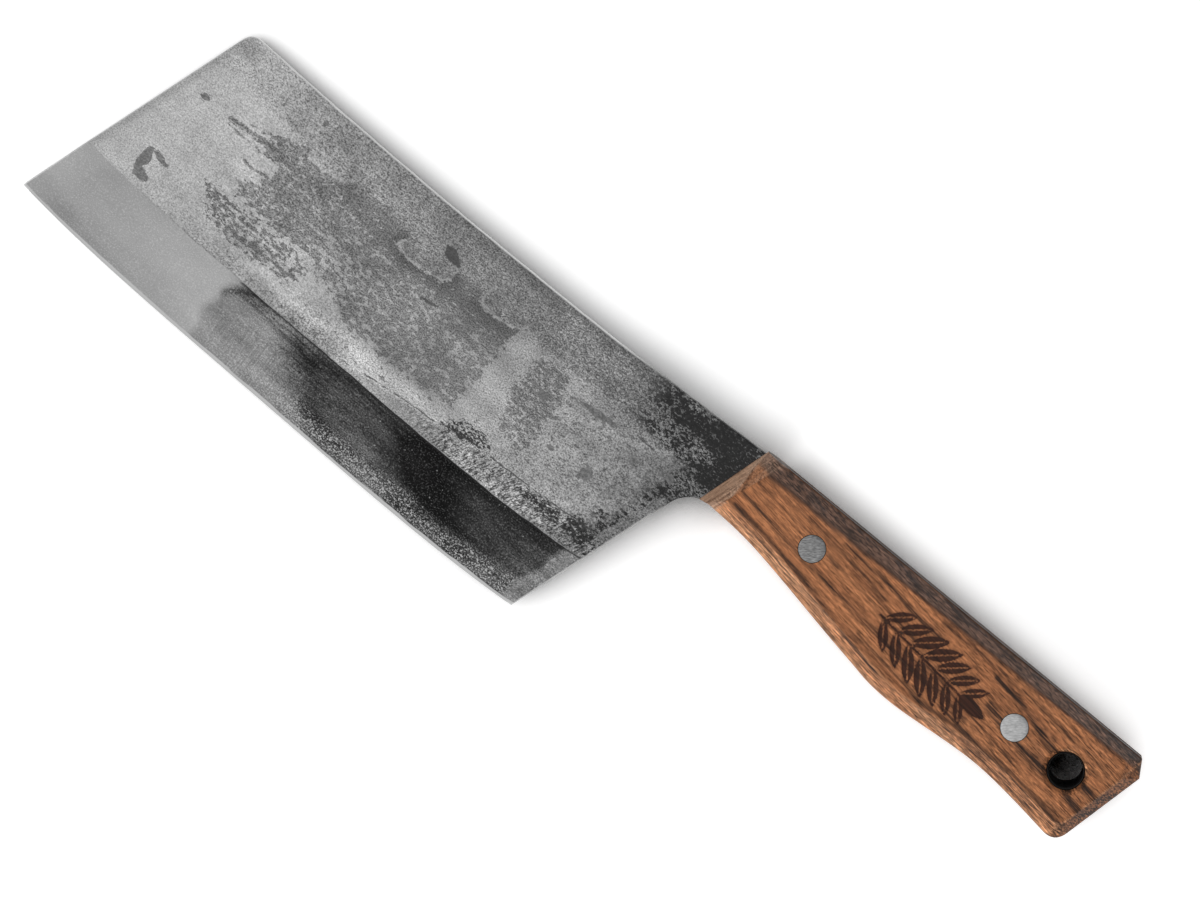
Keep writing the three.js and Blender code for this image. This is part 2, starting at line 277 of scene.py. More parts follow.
def handle_outline(height=0.0, drawn=0.0, flat=0.0):
    """The handle's outline, anticlockwise from its lower front corner, at a height over a grip's inner face.

    Its sides are drawn in by a share of their bevels and by a flat width.
    """
    rise = height / SCALE_THICKNESS
    ridge_y = -RIDGE_FOOT_DEPTH - (RIDGE_TOP_DEPTH - RIDGE_FOOT_DEPTH) * rise
    under = UNDERSIDE_BEVEL * drawn + flat

    def front_line(y):
        return handle_front_x(y) + RAMP_WIDTH * rise + flat + RAMP_TWIST * np.maximum(y - ridge_y, 0)

    def butt_line(y):
        return butt_x(y) - BUTT_BEVEL * drawn - flat

    def top_line(x):
        return HANDLE_RISE - top_bevel(x) * drawn - flat

    front_top_y = rear_top_y = HANDLE_RISE
    for _ in range(MEETING_STEPS):
        front_top_y = top_line(front_line(front_top_y))
        rear_top_y = top_line(butt_line(rear_top_y))
    start_y = meeting_y(front_line, under)
    corner_y = meeting_y(butt_line, under)
    corner = np.array([butt_line(corner_y), corner_y])
    along = np.linspace(front_line(start_y), corner[0] - BUTT_ROUND, LOWER_STEPS, endpoint=False)
    lower = np.stack([along, underside_y(along) + under], -1)
    round_start = np.array([corner[0] - BUTT_ROUND, float(underside_y(corner[0] - BUTT_ROUND)) + under])
    round_end = np.array([butt_line(corner_y + BUTT_ROUND), corner_y + BUTT_ROUND])
    t = np.linspace(0, 1, ROUND_STEPS, endpoint=False)[:, None]
    rounded = (1 - t) ** 2 * round_start + 2 * t * (1 - t) * corner + t**2 * round_end
    cut_start = (butt_line(rear_top_y - BUTT_CUT_DOWN), rear_top_y - BUTT_CUT_DOWN)
    cut_x = butt_line(rear_top_y) - BUTT_CUT_ALONG
    cut_end = (cut_x, top_line(cut_x))
    front_top = (front_line(front_top_y), front_top_y)
    ridge_y = min(max(ridge_y, start_y + RIDGE_ROOM), front_top_y - RIDGE_ROOM)
    ridge = (front_line(ridge_y), ridge_y)
    return np.concatenate([
        lower,
        rounded,
        run(round_end, cut_start, BUTT_STEPS),
        run(cut_start, cut_end, CUT_STEPS),
        run(cut_end, front_top, TOP_STEPS),
        run(front_top, ridge, FRONT_STEPS),
        run(ridge, lower[0], FRONT_STEPS),
    ])


def circle(centre, radius, count):
    turn = np.arange(count) * 2 * math.pi / count
    return np.stack([centre[0] + radius * np.cos(turn), centre[1] + radius * np.sin(turn)], -1)


# Distances and noise in plan
def to_line(points, line):
    """Distance from each point to a broken line."""
    best = np.full(len(points), np.inf)
    line = np.asarray(line, float)
    for a, b in zip(line[:-1], line[1:]):
        way = b - a
        share = np.clip(((points - a) @ way) / max(way @ way, 1e-12), 0, 1)
        best = np.minimum(best, np.hypot(*(points - a - share[:, None] * way).T))
    return best


def inside(points, outline):
    outline = np.asarray(outline, float)
    within = np.zeros(len(points), bool)
    for a, b in zip(outline, np.roll(outline, -1, 0)):
        if a[1] == b[1]:
            continue
        crosses = (a[1] > points[:, 1]) != (b[1] > points[:, 1])
        meets = a[0] + (points[:, 1] - a[1]) * (b[0] - a[0]) / (b[1] - a[1])
        within ^= crosses & (points[:, 0] < meets)
    return within


def depth_in(points, outline):
    """Distance to an outline, positive inside it."""
    ring = np.concatenate([outline, outline[:1]])
    return np.where(inside(points, outline), 1, -1) * to_line(points, ring)


def lattice(ix, iy, seed):
    mixed = (ix * 374761393 + iy * 668265263 + seed * 974634777) & 0xFFFFFFFF
    mixed = ((mixed ^ (mixed >> 13)) * 1274126177) & 0xFFFFFFFF
    return ((mixed ^ (mixed >> 16)) & 0xFFFF) / 0xFFFF


def noise(points, size, seed, octaves=3, stretch=1.0):
    """Even noise from 0 to 1, of about this grain size in millimetres, longer along x by the stretch."""
    total = np.zeros(len(points))
    weight = 1.0
    weights = 0.0
    for octave in range(octaves):
        grid = points / (np.array([size * stretch, size]) / 2**octave)
        cell = np.floor(grid).astype(np.int64)
        part = grid - cell
        part = part * part * (3 - 2 * part)
        x, y = cell.T
        across, up = part.T
        sown = seed + octave
        low = lattice(x, y, sown) * (1 - across) + lattice(x + 1, y, sown) * across
        high = lattice(x, y + 1, sown) * (1 - across) + lattice(x + 1, y + 1, sown) * across
        total += weight * (low * (1 - up) + high * up)
        weights += weight
        weight *= 0.5
    return total / weights


# Meshes
def new_object(name, data):
    made = bpy.data.objects.new(name, data)
    bpy.context.scene.collection.objects.link(made)
    return made


def at_height(points, height):
    return np.column_stack([points, np.full(len(points), height)])


def walls(rows, count, first=0, wrapped=False):
    """Four-sided faces between neighbouring rows of points, each row a closed loop."""
    faces = []
    for r in range(rows if wrapped else rows - 1):
        low, high = first + r * count, first + (r + 1) % rows * count
        for i in range(count):
            ahead = (i + 1) % count
            faces.append([low + i, low + ahead, high + ahead, high + i])
    return faces


def piece(name, vertices, faces, sharp_angle, material, node, values=None):
    """A mesh in the knife's millimetres, laid in place, that stands for a CAD node."""
    mesh = bpy.data.meshes.new(name)
    mesh.from_pydata((np.asarray(vertices) * MM).tolist(), [], faces)
    for value_name, numbers in (values or {}).items():
        attribute = mesh.attributes.new(value_name, "FLOAT", "POINT")
        attribute.data.foreach_set("value", np.asarray(numbers, np.float32))
    weld = bmesh.new()
    weld.from_mesh(mesh)
    bmesh.ops.remove_doubles(weld, verts=weld.verts, dist=WELD)
    bmesh.ops.recalc_face_normals(weld, faces=weld.faces)
    weld.to_mesh(mesh)
    weld.free()
    mesh.materials.append(material)
    mesh.shade_smooth()
    mesh.set_sharp_from_angle(angle=math.radians(sharp_angle))
    made = new_object(name, mesh)
    made.matrix_world = PLACE
    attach(made, "root")
    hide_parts(node)
    return made


def filled(outline, holes, extra):
    """Triangles over an outline with round holes, through extra points inside it.

    The outline's points come first in the result, then those of the holes.
    """
    loops = [np.asarray(outline), *holes]
    edges = []
    hole_of = []
    for number, loop in enumerate(loops):
        first = len(hole_of)
        count = len(loop)
        edges += [(first + i, first + (i + 1) % count) for i in range(count)]
        hole_of += [number] * count
    for hole in holes:
        extra = extra[~inside(extra, hole)]
    points = np.concatenate([*loops, extra])
    hole_of += [0] * len(extra)
    given = [Vector(p) for p in points]
    _, _, triangles, origins, _, _ = delaunay_2d_cdt(given, edges, [], 1, WELD)
    faces = [[origins[i][0] for i in triangle] for triangle in triangles]

    def in_hole(face):
        """A triangle with all its corners on one hole's rim lies in the hole."""
        return hole_of[face[0]] == hole_of[face[1]] == hole_of[face[2]] != 0

    return points, [face for face in faces if not in_hole(face)]


# Marks on the forged side, in the knife's millimetres
PATCH = [
    (-151, -16.5), (-146, -14), (-140.5, -13.4), (-140, -15.6), (-130.2, -15.6), (-127, -13.6), (-124, -12.8),
    (-107, -12.9), (-106, -15), (-107.4, -18), (-104, -19.6), (-98, -19.3), (-93, -18.1), (-91.4, -16.4),
    (-91.4, -13.4), (-82.4, -13.6), (-81.6, -16.2), (-72, -16.6), (-69, -15), (-68, -28), (-70, -42.5),
    (-76, -44.2), (-82, -43.6), (-90, -44.8), (-98, -43.6), (-105, -45), (-115, -41), (-124, -37),
    (-140, -36.8), (-150, -35.6), (-152, -32), (-148, -29.5), (-146, -24.5), (-150, -22.6), (-156, -21),
    (-152, -19),
]
DARK_STRIP = [
    (-131, -15.4), (-126, -13.4), (-107.5, -13.1), (-106, -15), (-107.4, -18), (-104, -19.8), (-98, -19.5),
    (-92, -17.6), (-91, -13.2), (-82.6, -13.6), (-81.6, -16.4), (-69, -16.6), (-70, -21), (-90, -22.5),
    (-112, -22.5), (-128, -20),
]
FRINGE = [(-159, -36.4), (-140, -35.5), (-124, -36), (-120, -40), (-124, -46), (-140, -46.5), (-152, -45.5)]
FINGERS = [
    ([(-162, -20.8), (-150, -20.4)], 2.0), ([(-162, -22.7), (-148, -22.6)], 0.8),
    ([(-158.5, -18.4), (-150, -18)], 1.0), ([(-152, -27), (-146, -27)], 1.2),
    ([(-157, -38), (-150, -38.3)], 1.4), ([(-155, -40), (-138, -39.6)], 1.3),
    ([(-150, -43), (-141, -43.4)], 1.5), ([(-139, -43), (-124, -42.5)], 1.6),
]
ISLANDS = [
    [(-107.4, -18), (-104, -19.7), (-98, -19.4), (-93, -18.2), (-91.3, -16.4), (-91.3, -14), (-93.5, -12.6),
     (-97, -12.8), (-99, -9), (-105.5, -9), (-106, -14.5)],
    [(-81.8, -13.6), (-81.4, -16.1), (-77, -16.6), (-72, -16.6), (-68.6, -14.6), (-67, -10), (-80, -10)],
]
PALE_BAND = [(-68, -14), (-63.5, -15), (-62, -30), (-55, -40), (-52, -44), (-69, -44.5), (-67.5, -30)]
RIGHT_ZONE = [(-62, -16), (-51, -15), (-46.5, -26), (-46.5, -38), (-51, -41), (-58, -39), (-62.5, -28)]
BLOTS = [
    [(-97.8, -10.4), (-95.2, -9.9), (-93.6, -10.8), (-91, -12.7), (-92.8, -13.2), (-96.6, -13)],
]
SCRATCHES = [
    ([(-94.6, -25.4), (-92.5, -25), (-89.8, -24.5)], 0.7),
    ([(-28, -17.4), (-23, -17.3)], 0.6),
]
# Ellipses: a centre, and how far they reach along and across the blade
STAINS = [
    ((-174.6, -43.6), 1.5, 3.4), ((-172.6, -46.6), 2.6, 1.3), ((-170.4, -40.8), 3.0, 0.8),
    ((-171.6, -20), 1.4, 0.9), ((-39.5, -19.4), 7.5, 1.2), ((-33.3, -33.3), 1.8, 1.8),
    ((-44.2, -34), 0.9, 0.9), ((-54, -24.2), 1.5, 1.2), ((-17.2, -20.8), 1.0, 0.9),
    ((-14.5, -20.6), 1.0, 0.9), ((-26, -23), 1.0, 0.9), ((-141.6, -6.2), 0.9, 0.8),
]
SEAM = [
    (-106, -51.7), (-97, -50.4), (-90, -49.4), (-80, -48.4), (-72, -47.7), (-68, -46.6), (-60, -45.8),
    (-40, -45), (-30, -44.5), (-21, -43.4),
]
# Ellipses of black specks, with the share that they cover
SEAM_CLUSTERS = [
    ((-63.5, -45.9), 9, 1.4, 0.68), ((-62, -43.6), 11, 3.2, 0.5), ((-37, -47.5), 13, 2.8, 0.6),
    ((-24, -46), 5, 4.5, 0.66), ((-22, -40), 2.6, 5.5, 0.6),
]

# Tones of the bare metal along the blade: in the middle, near the spine and above the ground bevel
BARE_PLACES = (-186, -165, -150, -130, -110, -95, -78, -60, -40, -25, -10)
BARE_TONES = (0.42, 0.455, 0.46, 0.42, 0.38, 0.36, 0.31, 0.36, 0.33, 0.25, 0.2)
BARE_TOP_TONES = (0.40, 0.41, 0.385, 0.34, 0.295, 0.275, 0.255, 0.285, 0.265, 0.22, 0.2)
BARE_LOW_TONES = (0.41, 0.42, 0.42, 0.44, 0.50, 0.49, 0.49, 0.39, 0.34, 0.24, 0.2)

# How bright the ground bevel is along the blade, its polish with a painted reflection of a light front and a
# dark lobe, and how strong its fine lines are
BEVEL_PLACES = (
    -196, -188, -182, -172, -150, -138.5, -136, -130, -118, -110, -104, -92, -80, -71, -58, -48, -38, -29,
)
BEVEL_REFLECTION_TONES = (
    0.37, 0.35, 0.318, 0.332, 0.372, 0.395, 0.27, 0.245, 0.225, 0.15, 0.058, 0.075, 0.06, 0.007, 0.004,
    0.024, 0.04, 0.045,
)
LINED_PLACES = (-138, -132, -124, -112, -100, -92, -80, -74, -66, -60)
LINED_DEPTHS = (0.02, 0.13, 0.24, 0.24, 0.15, 0.05, 0.05, 0.3, 0.3, 0.1)


def soft(depth, width):
    return smooth(depth, -width, width)


def ellipse_depth(points, centre, along, across):
    """About 1 in the middle of an ellipse, 0 on it and less outside."""
    return 1 - np.hypot((points[:, 0] - centre[0]) / along, (points[:, 1] - centre[1]) / across)


UPPER_SEED = 10
LOWER_SEED = 60
FAR_SIDE_SHIFT = -200  # the far side has the same kinds of marks, turned end for end about half of this x
# The bright front of the ground bevel and the dark lobe behind it are a painted reflection
LOBE_X = -137  # where the bright front of the ground bevel ends
PAST_HEEL = -15  # the edge's line is followed no further than this x
UNMARKED = -9.0  # millimetres outside any mark


def forge_fields(plan, depth, side):
    """What the hammer, the fire and the grinding wheel left at each point of one side, with the painted
    reflection on the ground bevel, the painted highlight on the arrises and the painted shade on the tang's
    rim.
    """
    x, y = plan.T
    seed = UPPER_SEED if side > 0 else LOWER_SEED
    marks = plan if side > 0 else np.stack([FAR_SIDE_SHIFT - x, y], -1)
    wander = np.stack([noise(plan, 4.5, seed, 3, 1.6), noise(plan, 4.5, seed + 7, 3, 1.6)], -1) - 0.5
    ragged = marks + wander * (4.5, 1.8)
    tied = plan + wander * (3, 1.6)
    from_grind = y - edge_y(np.minimum(x, PAST_HEEL)) - GRIND_WIDTH
    island = np.full(len(plan), UNMARKED)
    for outline in ISLANDS:
        island = np.maximum(island, depth_in(marks + 0.5 * wander, outline))
    top_foot = np.interp(marks[:, 0], (-158, -138), (-11, -15))
    top = np.maximum(smooth(ragged[:, 1], top_foot - 2.5, top_foot + 1), soft(island, 0.2))
    low = smooth(-tied[:, 1], 42, 46)
    low_rear = low * smooth(x, -130, -110)

    # Bare metal, brightest at the front and under the patch
    bare = np.interp(x, BARE_PLACES, BARE_TONES)
    bare += (np.interp(x, BARE_PLACES, BARE_TOP_TONES) - bare) * top
    bare += (np.interp(x, BARE_PLACES, BARE_LOW_TONES) - bare) * low
    pale = soft(depth_in(tied if side > 0 else ragged, PALE_BAND), 2.4)
    bare += (0.345 - bare) * pale
    bare *= 1 - 0.2 * smooth(x - front_x(y) + 2 * wander[:, 1], 3.2, 0.8)
    bare *= 1 - 0.3 * smooth(ellipse_depth(tied, (-169, -4), 6, 4), 0, 0.8)
    bare *= 1 - 0.36 * smooth(y + 3 * wander[:, 1], -8, -1.5) * smooth(x, -130, -90)
    over_grind = smooth(from_grind + 2 * wander[:, 1], 5, 1.5) * smooth(x, -165, -145) * smooth(-x, 96, 112)
    bare *= 1 - 0.26 * over_grind

    # Scale in specks, and how much of the metal it covers
    fade = np.interp(marks[:, 1], (-21, -17), (2.6, 0.7))
    off_island = smooth(island, 0.2, -0.2)
    patch = smooth(depth_in(ragged, PATCH), -fade, fade) * off_island
    strip = soft(depth_in(ragged, DARK_STRIP), 1.8) * off_island
    near_island = smooth(-island, 4, 0.3) * strip
    crust = np.interp(x, (-140, -100, -75, -40), (0.234, 0.218, 0.207, 0.17))
    crust += (0.62 * bare - crust) * top * (1 - np.maximum(patch, strip))
    crust *= (1 - 0.2 * strip) * (1 - 0.35 * near_island)
    cover = np.interp(marks[:, 0], (-172, -150, -125, -100, -68), (0.2, 0.4, 0.5, 0.54, 0.54)) * top
    cover = np.maximum(cover, 0.1 + 0.14 * low_rear + 0.22 * over_grind)
    fringe = soft(depth_in(ragged, FRINGE), 2.5)
    crust *= 1 - 0.2 * fringe
    cover = np.maximum(cover, 0.53 * fringe)
    right_zone = soft(depth_in(ragged, RIGHT_ZONE), 3.4)
    cover = np.maximum(cover, 0.6 * right_zone)
    cover = np.maximum(cover, np.interp(x, (-64, -50, -36, -10), (0, 0.36, 0.36, 0.5)) * (1 - 0.6 * low))
    fill = 0.68 - 0.06 * smooth(marks[:, 0], -135, -105) * smooth(-marks[:, 1], 20, 30)
    worn = smooth(marks[:, 0], -128, -121) * smooth(marks[:, 0], -108, -114)
    fill -= 0.1 * worn * smooth(-marks[:, 1], 24, 32)
    cover = np.maximum(cover, fill * patch)
    cover = np.maximum(cover, 0.78 * strip + 0.1 * near_island)
    for line, width in FINGERS:
        cover = np.maximum(cover, 0.75 * soft(width / 2 - to_line(ragged, line), 0.7))
    cover *= 1 - 0.5 * pale
    cover = np.maximum(cover, 0.28 * pale)
    stain = np.full(len(plan), UNMARKED)
    for centre, along, across in STAINS:
        stain = np.maximum(stain, across * ellipse_depth(marks + wander * (4, 2.4), centre, along, across))
    clustered = np.zeros(len(plan))
    for centre, along, across, share in SEAM_CLUSTERS:
        cluster = smooth(ellipse_depth(plan + wander * (9, 4), centre, along, across), 0, 0.5)
        cover = np.maximum(cover, share * cluster)
        clustered = np.maximum(clustered, cluster)
    crust *= 1 - 0.85 * clustered

    # Black scale next to the handle
    upper = smooth(tied[:, 0], -42, -14) * smooth(tied[:, 1], -17, -12)
    neck = smooth(tied[:, 0] - handle_front_x(y), -12, -4)
    streaks = 0.35 * smooth(np.abs(tied[:, 1] + 10), 1.4, 0.4) * smooth(-x, 8, 12)
    shade = np.maximum(upper * (1 - streaks), neck)
    sooty = smooth(noise(plan, 5, seed + 40, 3, 1.3), 0.36, 0.62)
    cover += (0.5 + 0.24 * sooty - cover) * shade
    crust += (0.010 - crust) * smooth(shade, 0.05, 0.5)
    bare += (0.18 - 0.1 * sooty - bare) * shade

    # The seam over the ground bevel, and the hatched metal under it
    seam_x, seam_y = np.array(SEAM).T
    above_seam = tied[:, 1] - 0.8 * wander[:, 1] - np.interp(x, seam_x, seam_y)
    seam = smooth(x, seam_x[0] - 1, seam_x[0] + 8) * smooth(seam_x[-1] - x, -1, 2)
    under_seam = smooth(-above_seam, 0.1, 0.9) * smooth(from_grind, 0, 0.4)
    bare += (np.minimum(bare, 0.295) - bare) * under_seam * smooth(x, -104, -92)
    hatched = under_seam * smooth(x, -88, -64)

    # Tones of the ground bevel, its polish with a painted reflection of a light front and a dark lobe with
    # darker rims along the grind line, and the smooth strip along the heel
    bend = 8 * np.clip(1 + from_grind / 6, 0, 1) ** 2
    in_lobe = x - bend - LOBE_X
    slant = (from_grind + 8.5) * smooth(x, -132, -112) * smooth(-x, 30, 48)
    polish_and_reflection = np.interp(in_lobe + LOBE_X + slant + 4 * wander[:, 0], BEVEL_PLACES, BEVEL_REFLECTION_TONES)
    polish_and_reflection *= 1 - 0.5 * smooth(in_lobe, -0.2, 0.9) * smooth(in_lobe, 4, 1.2) * smooth(-from_grind, 9, 2)
    polish_and_reflection *= 1 - 0.14 * smooth(-from_grind, 10, 20) * smooth(-x, 130, 150)
    polish_and_reflection *= 1 - 0.55 * smooth(-from_grind, 6, 0.2) * smooth(x, -138, -130)
    to_heel = HEEL[0] + (y - HEEL[1]) * slope(HEEL_SLANT) - x
    heel_strip = smooth(to_heel + 3 * wander[:, 0], 5.5, 3.2)
    speckled = smooth(3 * wander[:, 1] - from_grind, 12.5, 17) * smooth(-from_grind, 20, 18.8)
    speckled *= smooth(x, -118, -96) * (1 - heel_strip)
    polish_and_reflection += np.maximum(0.1 - polish_and_reflection, 0) * speckled
    polish_and_reflection += (0.174 - polish_and_reflection) * heel_strip
    smooth_heel = smooth(to_heel + wander[:, 0], 3.6, 2.2) * smooth(-y, 24, 28)
    bare += (0.19 - bare) * 0.8 * smooth_heel
    cover *= 1 - 0.9 * smooth_heel

    # Arrises rubbed bright, mostly a painted highlight along the spine, the front and the heel
    along_spine = smooth(y, -6, -3) * smooth(-x, 26, 50)
    along_front = 0.6 * smooth(x - front_x(y), 3, 2)
    along_heel = 0.5 * smooth(to_heel, 2, 1) * smooth(-y, 26, 32)
    rubbed_and_highlit = np.maximum(np.maximum(along_spine, along_front), along_heel)

    # The tang's rim between the grips, painted dark: partly black scale like the neck's, partly painted shade
    in_handle = smooth(x, 0, 2)
    bare += (0.05 - bare) * in_handle
    crust += (0.03 - crust) * in_handle

    mark = np.full(len(plan), UNMARKED)
    for outline in BLOTS:
        mark = np.maximum(mark, depth_in(marks + 0.3 * wander, outline))
    for line, width in SCRATCHES:
        mark = np.maximum(mark, width / 2 - to_line(marks + 0.8 * wander, line))
    grit = 2.1 + 0.8 * top + over_grind + 1.2 * low_rear + 1.2 * smooth(x, -72, -62) + 1.4 * shade
    return {
        "cover": cover,
        "bare": bare,
        "crust": crust,
        "grit": grit,
        "clouded": 0.4 + 0.6 * smooth(marks[:, 0], -162, -140),
        "fineness": np.maximum(np.maximum(0.75 * top, shade), np.maximum(0.4 * right_zone, clustered)),
        "polish_and_reflection": polish_and_reflection,
        "lined": np.interp(x, LINED_PLACES, LINED_DEPTHS) * smooth(-from_grind, 5, 11),
        "fanned": smooth(-from_grind, 6, 1) * smooth(x, -136, -128) * smooth(-x, 62, 84),
        "speckled": speckled,
        "hatched": hatched,
        "from_grind": from_grind + 0.5 * (noise(plan, 3, seed + 20, 3, 2) - 0.5),
        "above_seam": above_seam,
        "seam": seam,
        "mark": mark,
        "stain": stain,
        "island": island,
        "rubbed_and_highlit": rubbed_and_highlit * smooth(depth, 0.42, 0.1),
    }


# Blade
GRID = 0.62
TANG_GRID = 3.0
INSETS = (0.05, 0.15, 0.4, HONE_WIDTH)
ARRIS = 0.22
EDGE_STEPS = 340
SPINE_STEPS = 330
NOSE_STEPS = 130
CORNER_STEPS = 8
HEEL_STEPS = 90
SPINE_WAVE = 0.25  # how uneven the hammer left the spine
RIVET_SIDES = 48
HOLE_SIDES = 64
BLADE_FIELD = (-76, 2)  # lowest and highest y that points are laid over
GRIP_FIELD = (-32, 2)
HAMMER_DEPTH = 0.05
SCALE_DEPTH = 0.05
PIT_DEPTH = 0.1
TONGUE_DEPTH = 0.05
GRAIN_DEPTH = 0.006
BLADE_CREASE = 32  # degrees from which an edge is sharp


def blade_outline():
    along = np.linspace(TIP[0], HEEL[0], EDGE_STEPS, endpoint=False)
    edge = np.stack([along, edge_y(along)], -1)
    handle = handle_outline()[: -2 * FRONT_STEPS]
    choil = choil_points()
    choil = choil[choil[:, 0] < handle[0, 0] - 0.2]
    top = np.linspace(0, FRONT_CORNER - BLADE_LENGTH, SPINE_STEPS)
    wave = SPINE_WAVE * (noise(np.stack([top, 0 * top], -1), 7, 5) - 0.5)
    spine = np.stack([top, spine_y(top) + wave * smooth(-top, 2, 14)], -1)
    t = np.linspace(0, 1, CORNER_STEPS)[1:-1, None]
    corner_end = np.array([front_x(-FRONT_CORNER), -FRONT_CORNER])
    corner = (1 - t) ** 2 * spine[-1] + 2 * t * (1 - t) * np.array([-BLADE_LENGTH, 0]) + t**2 * corner_end
    front = run(corner_end, TIP, NOSE_STEPS)
    heel = run(HEEL, CHOIL_FOOT, HEEL_STEPS)
    return np.concatenate([edge, heel, choil, handle, [(0, HANDLE_RISE)], spine, corner, front])


def hex_points(x0, x1, y0, y1, step):
    rows = np.arange(y0, y1, step * math.sqrt(3) / 2)
    columns = np.arange(x0, x1, step)
    grid = np.stack(np.meshgrid(columns, rows), -1)
    grid[1::2, :, 0] += step / 2
    return grid.reshape(-1, 2)


def nearest_distance(points, outline):
    tree = KDTree(len(outline))
    for i, p in enumerate(outline):
        tree.insert((p[0], p[1], 0), i)
    tree.balance()
    return np.array([tree.find((p[0], p[1], 0))[2] for p in points])


def side_height(plan, depth):
    """Half the blade's thickness, with the ground and honed bevels and softened arrises."""
    x, y = plan.T
    half = half_thickness(x)
    above_edge = np.where(x < PAST_HEEL, y - edge_y(np.minimum(x, PAST_HEEL)), GRIND_WIDTH)
    grind = (half - HONE_THICKNESS / 2) / (GRIND_WIDTH - HONE_WIDTH)
    height = half - np.clip(GRIND_WIDTH - above_edge, 0, GRIND_WIDTH - HONE_WIDTH) * grind
    hone = (HONE_THICKNESS - EDGE_THICKNESS) / 2 / HONE_WIDTH
    height -= np.clip(HONE_WIDTH - above_edge, 0, HONE_WIDTH) * hone
    lift = np.clip(ARRIS - depth, 0, ARRIS)
    return height - (ARRIS - np.sqrt(ARRIS**2 - lift**2)) * np.clip(height / half, 0, 1) ** 2


def forge_relief(plan, depth, fields):
    """Height of scale, pits and hammer marks over the even side."""
    x = plan[:, 0]
    forged = smooth(fields["from_grind"], -0.3, 0.3)
    shown = smooth(-x, 0, 2) * smooth(depth, 0, 0.8)
    hammer = HAMMER_DEPTH * (noise(plan, 14, 91, 2) - 0.5)
    scale = SCALE_DEPTH * smooth(fields["cover"], 0.3, 0.8)
    pits = -PIT_DEPTH * smooth(fields["mark"], -0.1, 0.4)
    tongue = TONGUE_DEPTH * soft(fields["island"], 0.3)
    grain = GRAIN_DEPTH * (noise(plan, 2, 17) - 0.5)
    return shown * (forged * (hammer + scale + pits + tongue) + grain)


def blade_plan():
    outline = blade_outline()
    ahead = np.roll(outline, -1, 0) - np.roll(outline, 1, 0)
    inward = np.stack([-ahead[:, 1], ahead[:, 0]], -1) / np.hypot(*ahead.T)[:, None]
    rings = []
    on_blade = outline[:, 0] < -0.5
    for inset in INSETS:
        ring = (outline + inward * inset)[on_blade]
        rings.append(ring[nearest_distance(ring, outline) > 0.9 * inset])
    holes = [circle(rivet_at, SLEEVE / 2 + CLEARANCE, RIVET_SIDES) for rivet_at in (FRONT_RIVET, REAR_RIVET)]
    holes.append(circle(HOLE, TUBE / 2 + CLEARANCE, HOLE_SIDES))
    loose = hex_points(TIP[0], 0, *BLADE_FIELD, GRID)
    loose = np.concatenate([loose, hex_points(2, HANDLE_LENGTH, *GRIP_FIELD, TANG_GRID)])
    loose = loose[inside(loose, outline)]
    clear = np.where(loose[:, 0] < 0, INSETS[-1] + 0.45 * GRID, TANG_GRID / 2)
    loose = loose[nearest_distance(loose, outline) > clear]
    loose = loose[nearest_distance(loose, np.concatenate(holes)) > 0.8]
    points, triangles = filled(outline, holes, np.concatenate([*rings, loose]))
    return points, triangles, outline, holes


def blade(material):
    plan, triangles, outline, holes = blade_plan()
    depth = nearest_distance(plan, outline)
    count = len(plan)
    height = side_height(plan, depth)
    fields = {1: forge_fields(plan, depth, 1), -1: forge_fields(plan, depth, -1)}
    sides = []
    for side in (1, -1):
        z = height + forge_relief(plan, depth, fields[side])
        sides.append(np.column_stack([plan, side * z]))
    faces = [list(t) for t in triangles] + [[count + i for i in reversed(t)] for t in triangles]
    first = 0
    for loop, outer in [(outline, True), *((hole, False) for hole in holes)]:
        for i in range(len(loop)):
            a, b = first + i, first + (i + 1) % len(loop)
            wall = [count + a, count + b, b, a]
            faces.append(wall if outer else wall[::-1])
        first += len(loop)
    values = {name: np.concatenate([fields[1][name], fields[-1][name]]) for name in fields[1]}
    vertices = np.concatenate(sides)
    piece("forged_blade", vertices, faces, BLADE_CREASE, material, "blade", values)


# Grips
SIDE_SOFT = 0.5
RIDGE_SOFT = 0.3
ROUND = 64
SPRIG_DEPTH = 0.12
UNBURNT = -5.0  # millimetres outside the ornament
RIVET_RIM = 0.06
SINK_RIM = 0.25
FLAT_GRID = 1.6
BURNT_GRID = 0.5  # on the flat with the ornament
RIM_ROOM = 0.45  # least distance of loose points from an outline
GRIP_CREASE = 24  # degrees


def grip_rings():
    """The grip's outline from its inner face up its sides and bevels to its flat."""
    top = SCALE_THICKNESS
    bevel = top - SIDE_HEIGHT
    stations = [(0.0, 0.0, 0.0), (SIDE_HEIGHT - SIDE_SOFT, 0.0, 0.0)]
    for t in (0.25, 0.5, 0.75, 1.0):
        over = SIDE_SOFT * (t**2)
        height = SIDE_HEIGHT - SIDE_SOFT * (1 - t) ** 2 + over
        stations.append((height, over / bevel, 0.0))
    start = SIDE_HEIGHT + SIDE_SOFT
    for height in np.linspace(start, top - RIDGE_SOFT, 10)[1:]:
        stations.append((height, (height - SIDE_HEIGHT) / bevel, 0.0))
    share = 1 - RIDGE_SOFT / bevel
    for t in (0.25, 0.5, 0.75, 1.0):
        height = top - RIDGE_SOFT * (1 - t) ** 2
        stations.append((height, share + (1 - share) * (2 * t - t**2), RIDGE_SOFT * t**2))
    return [at_height(handle_outline(height, drawn, flat), height) for height, drawn, flat in stations]


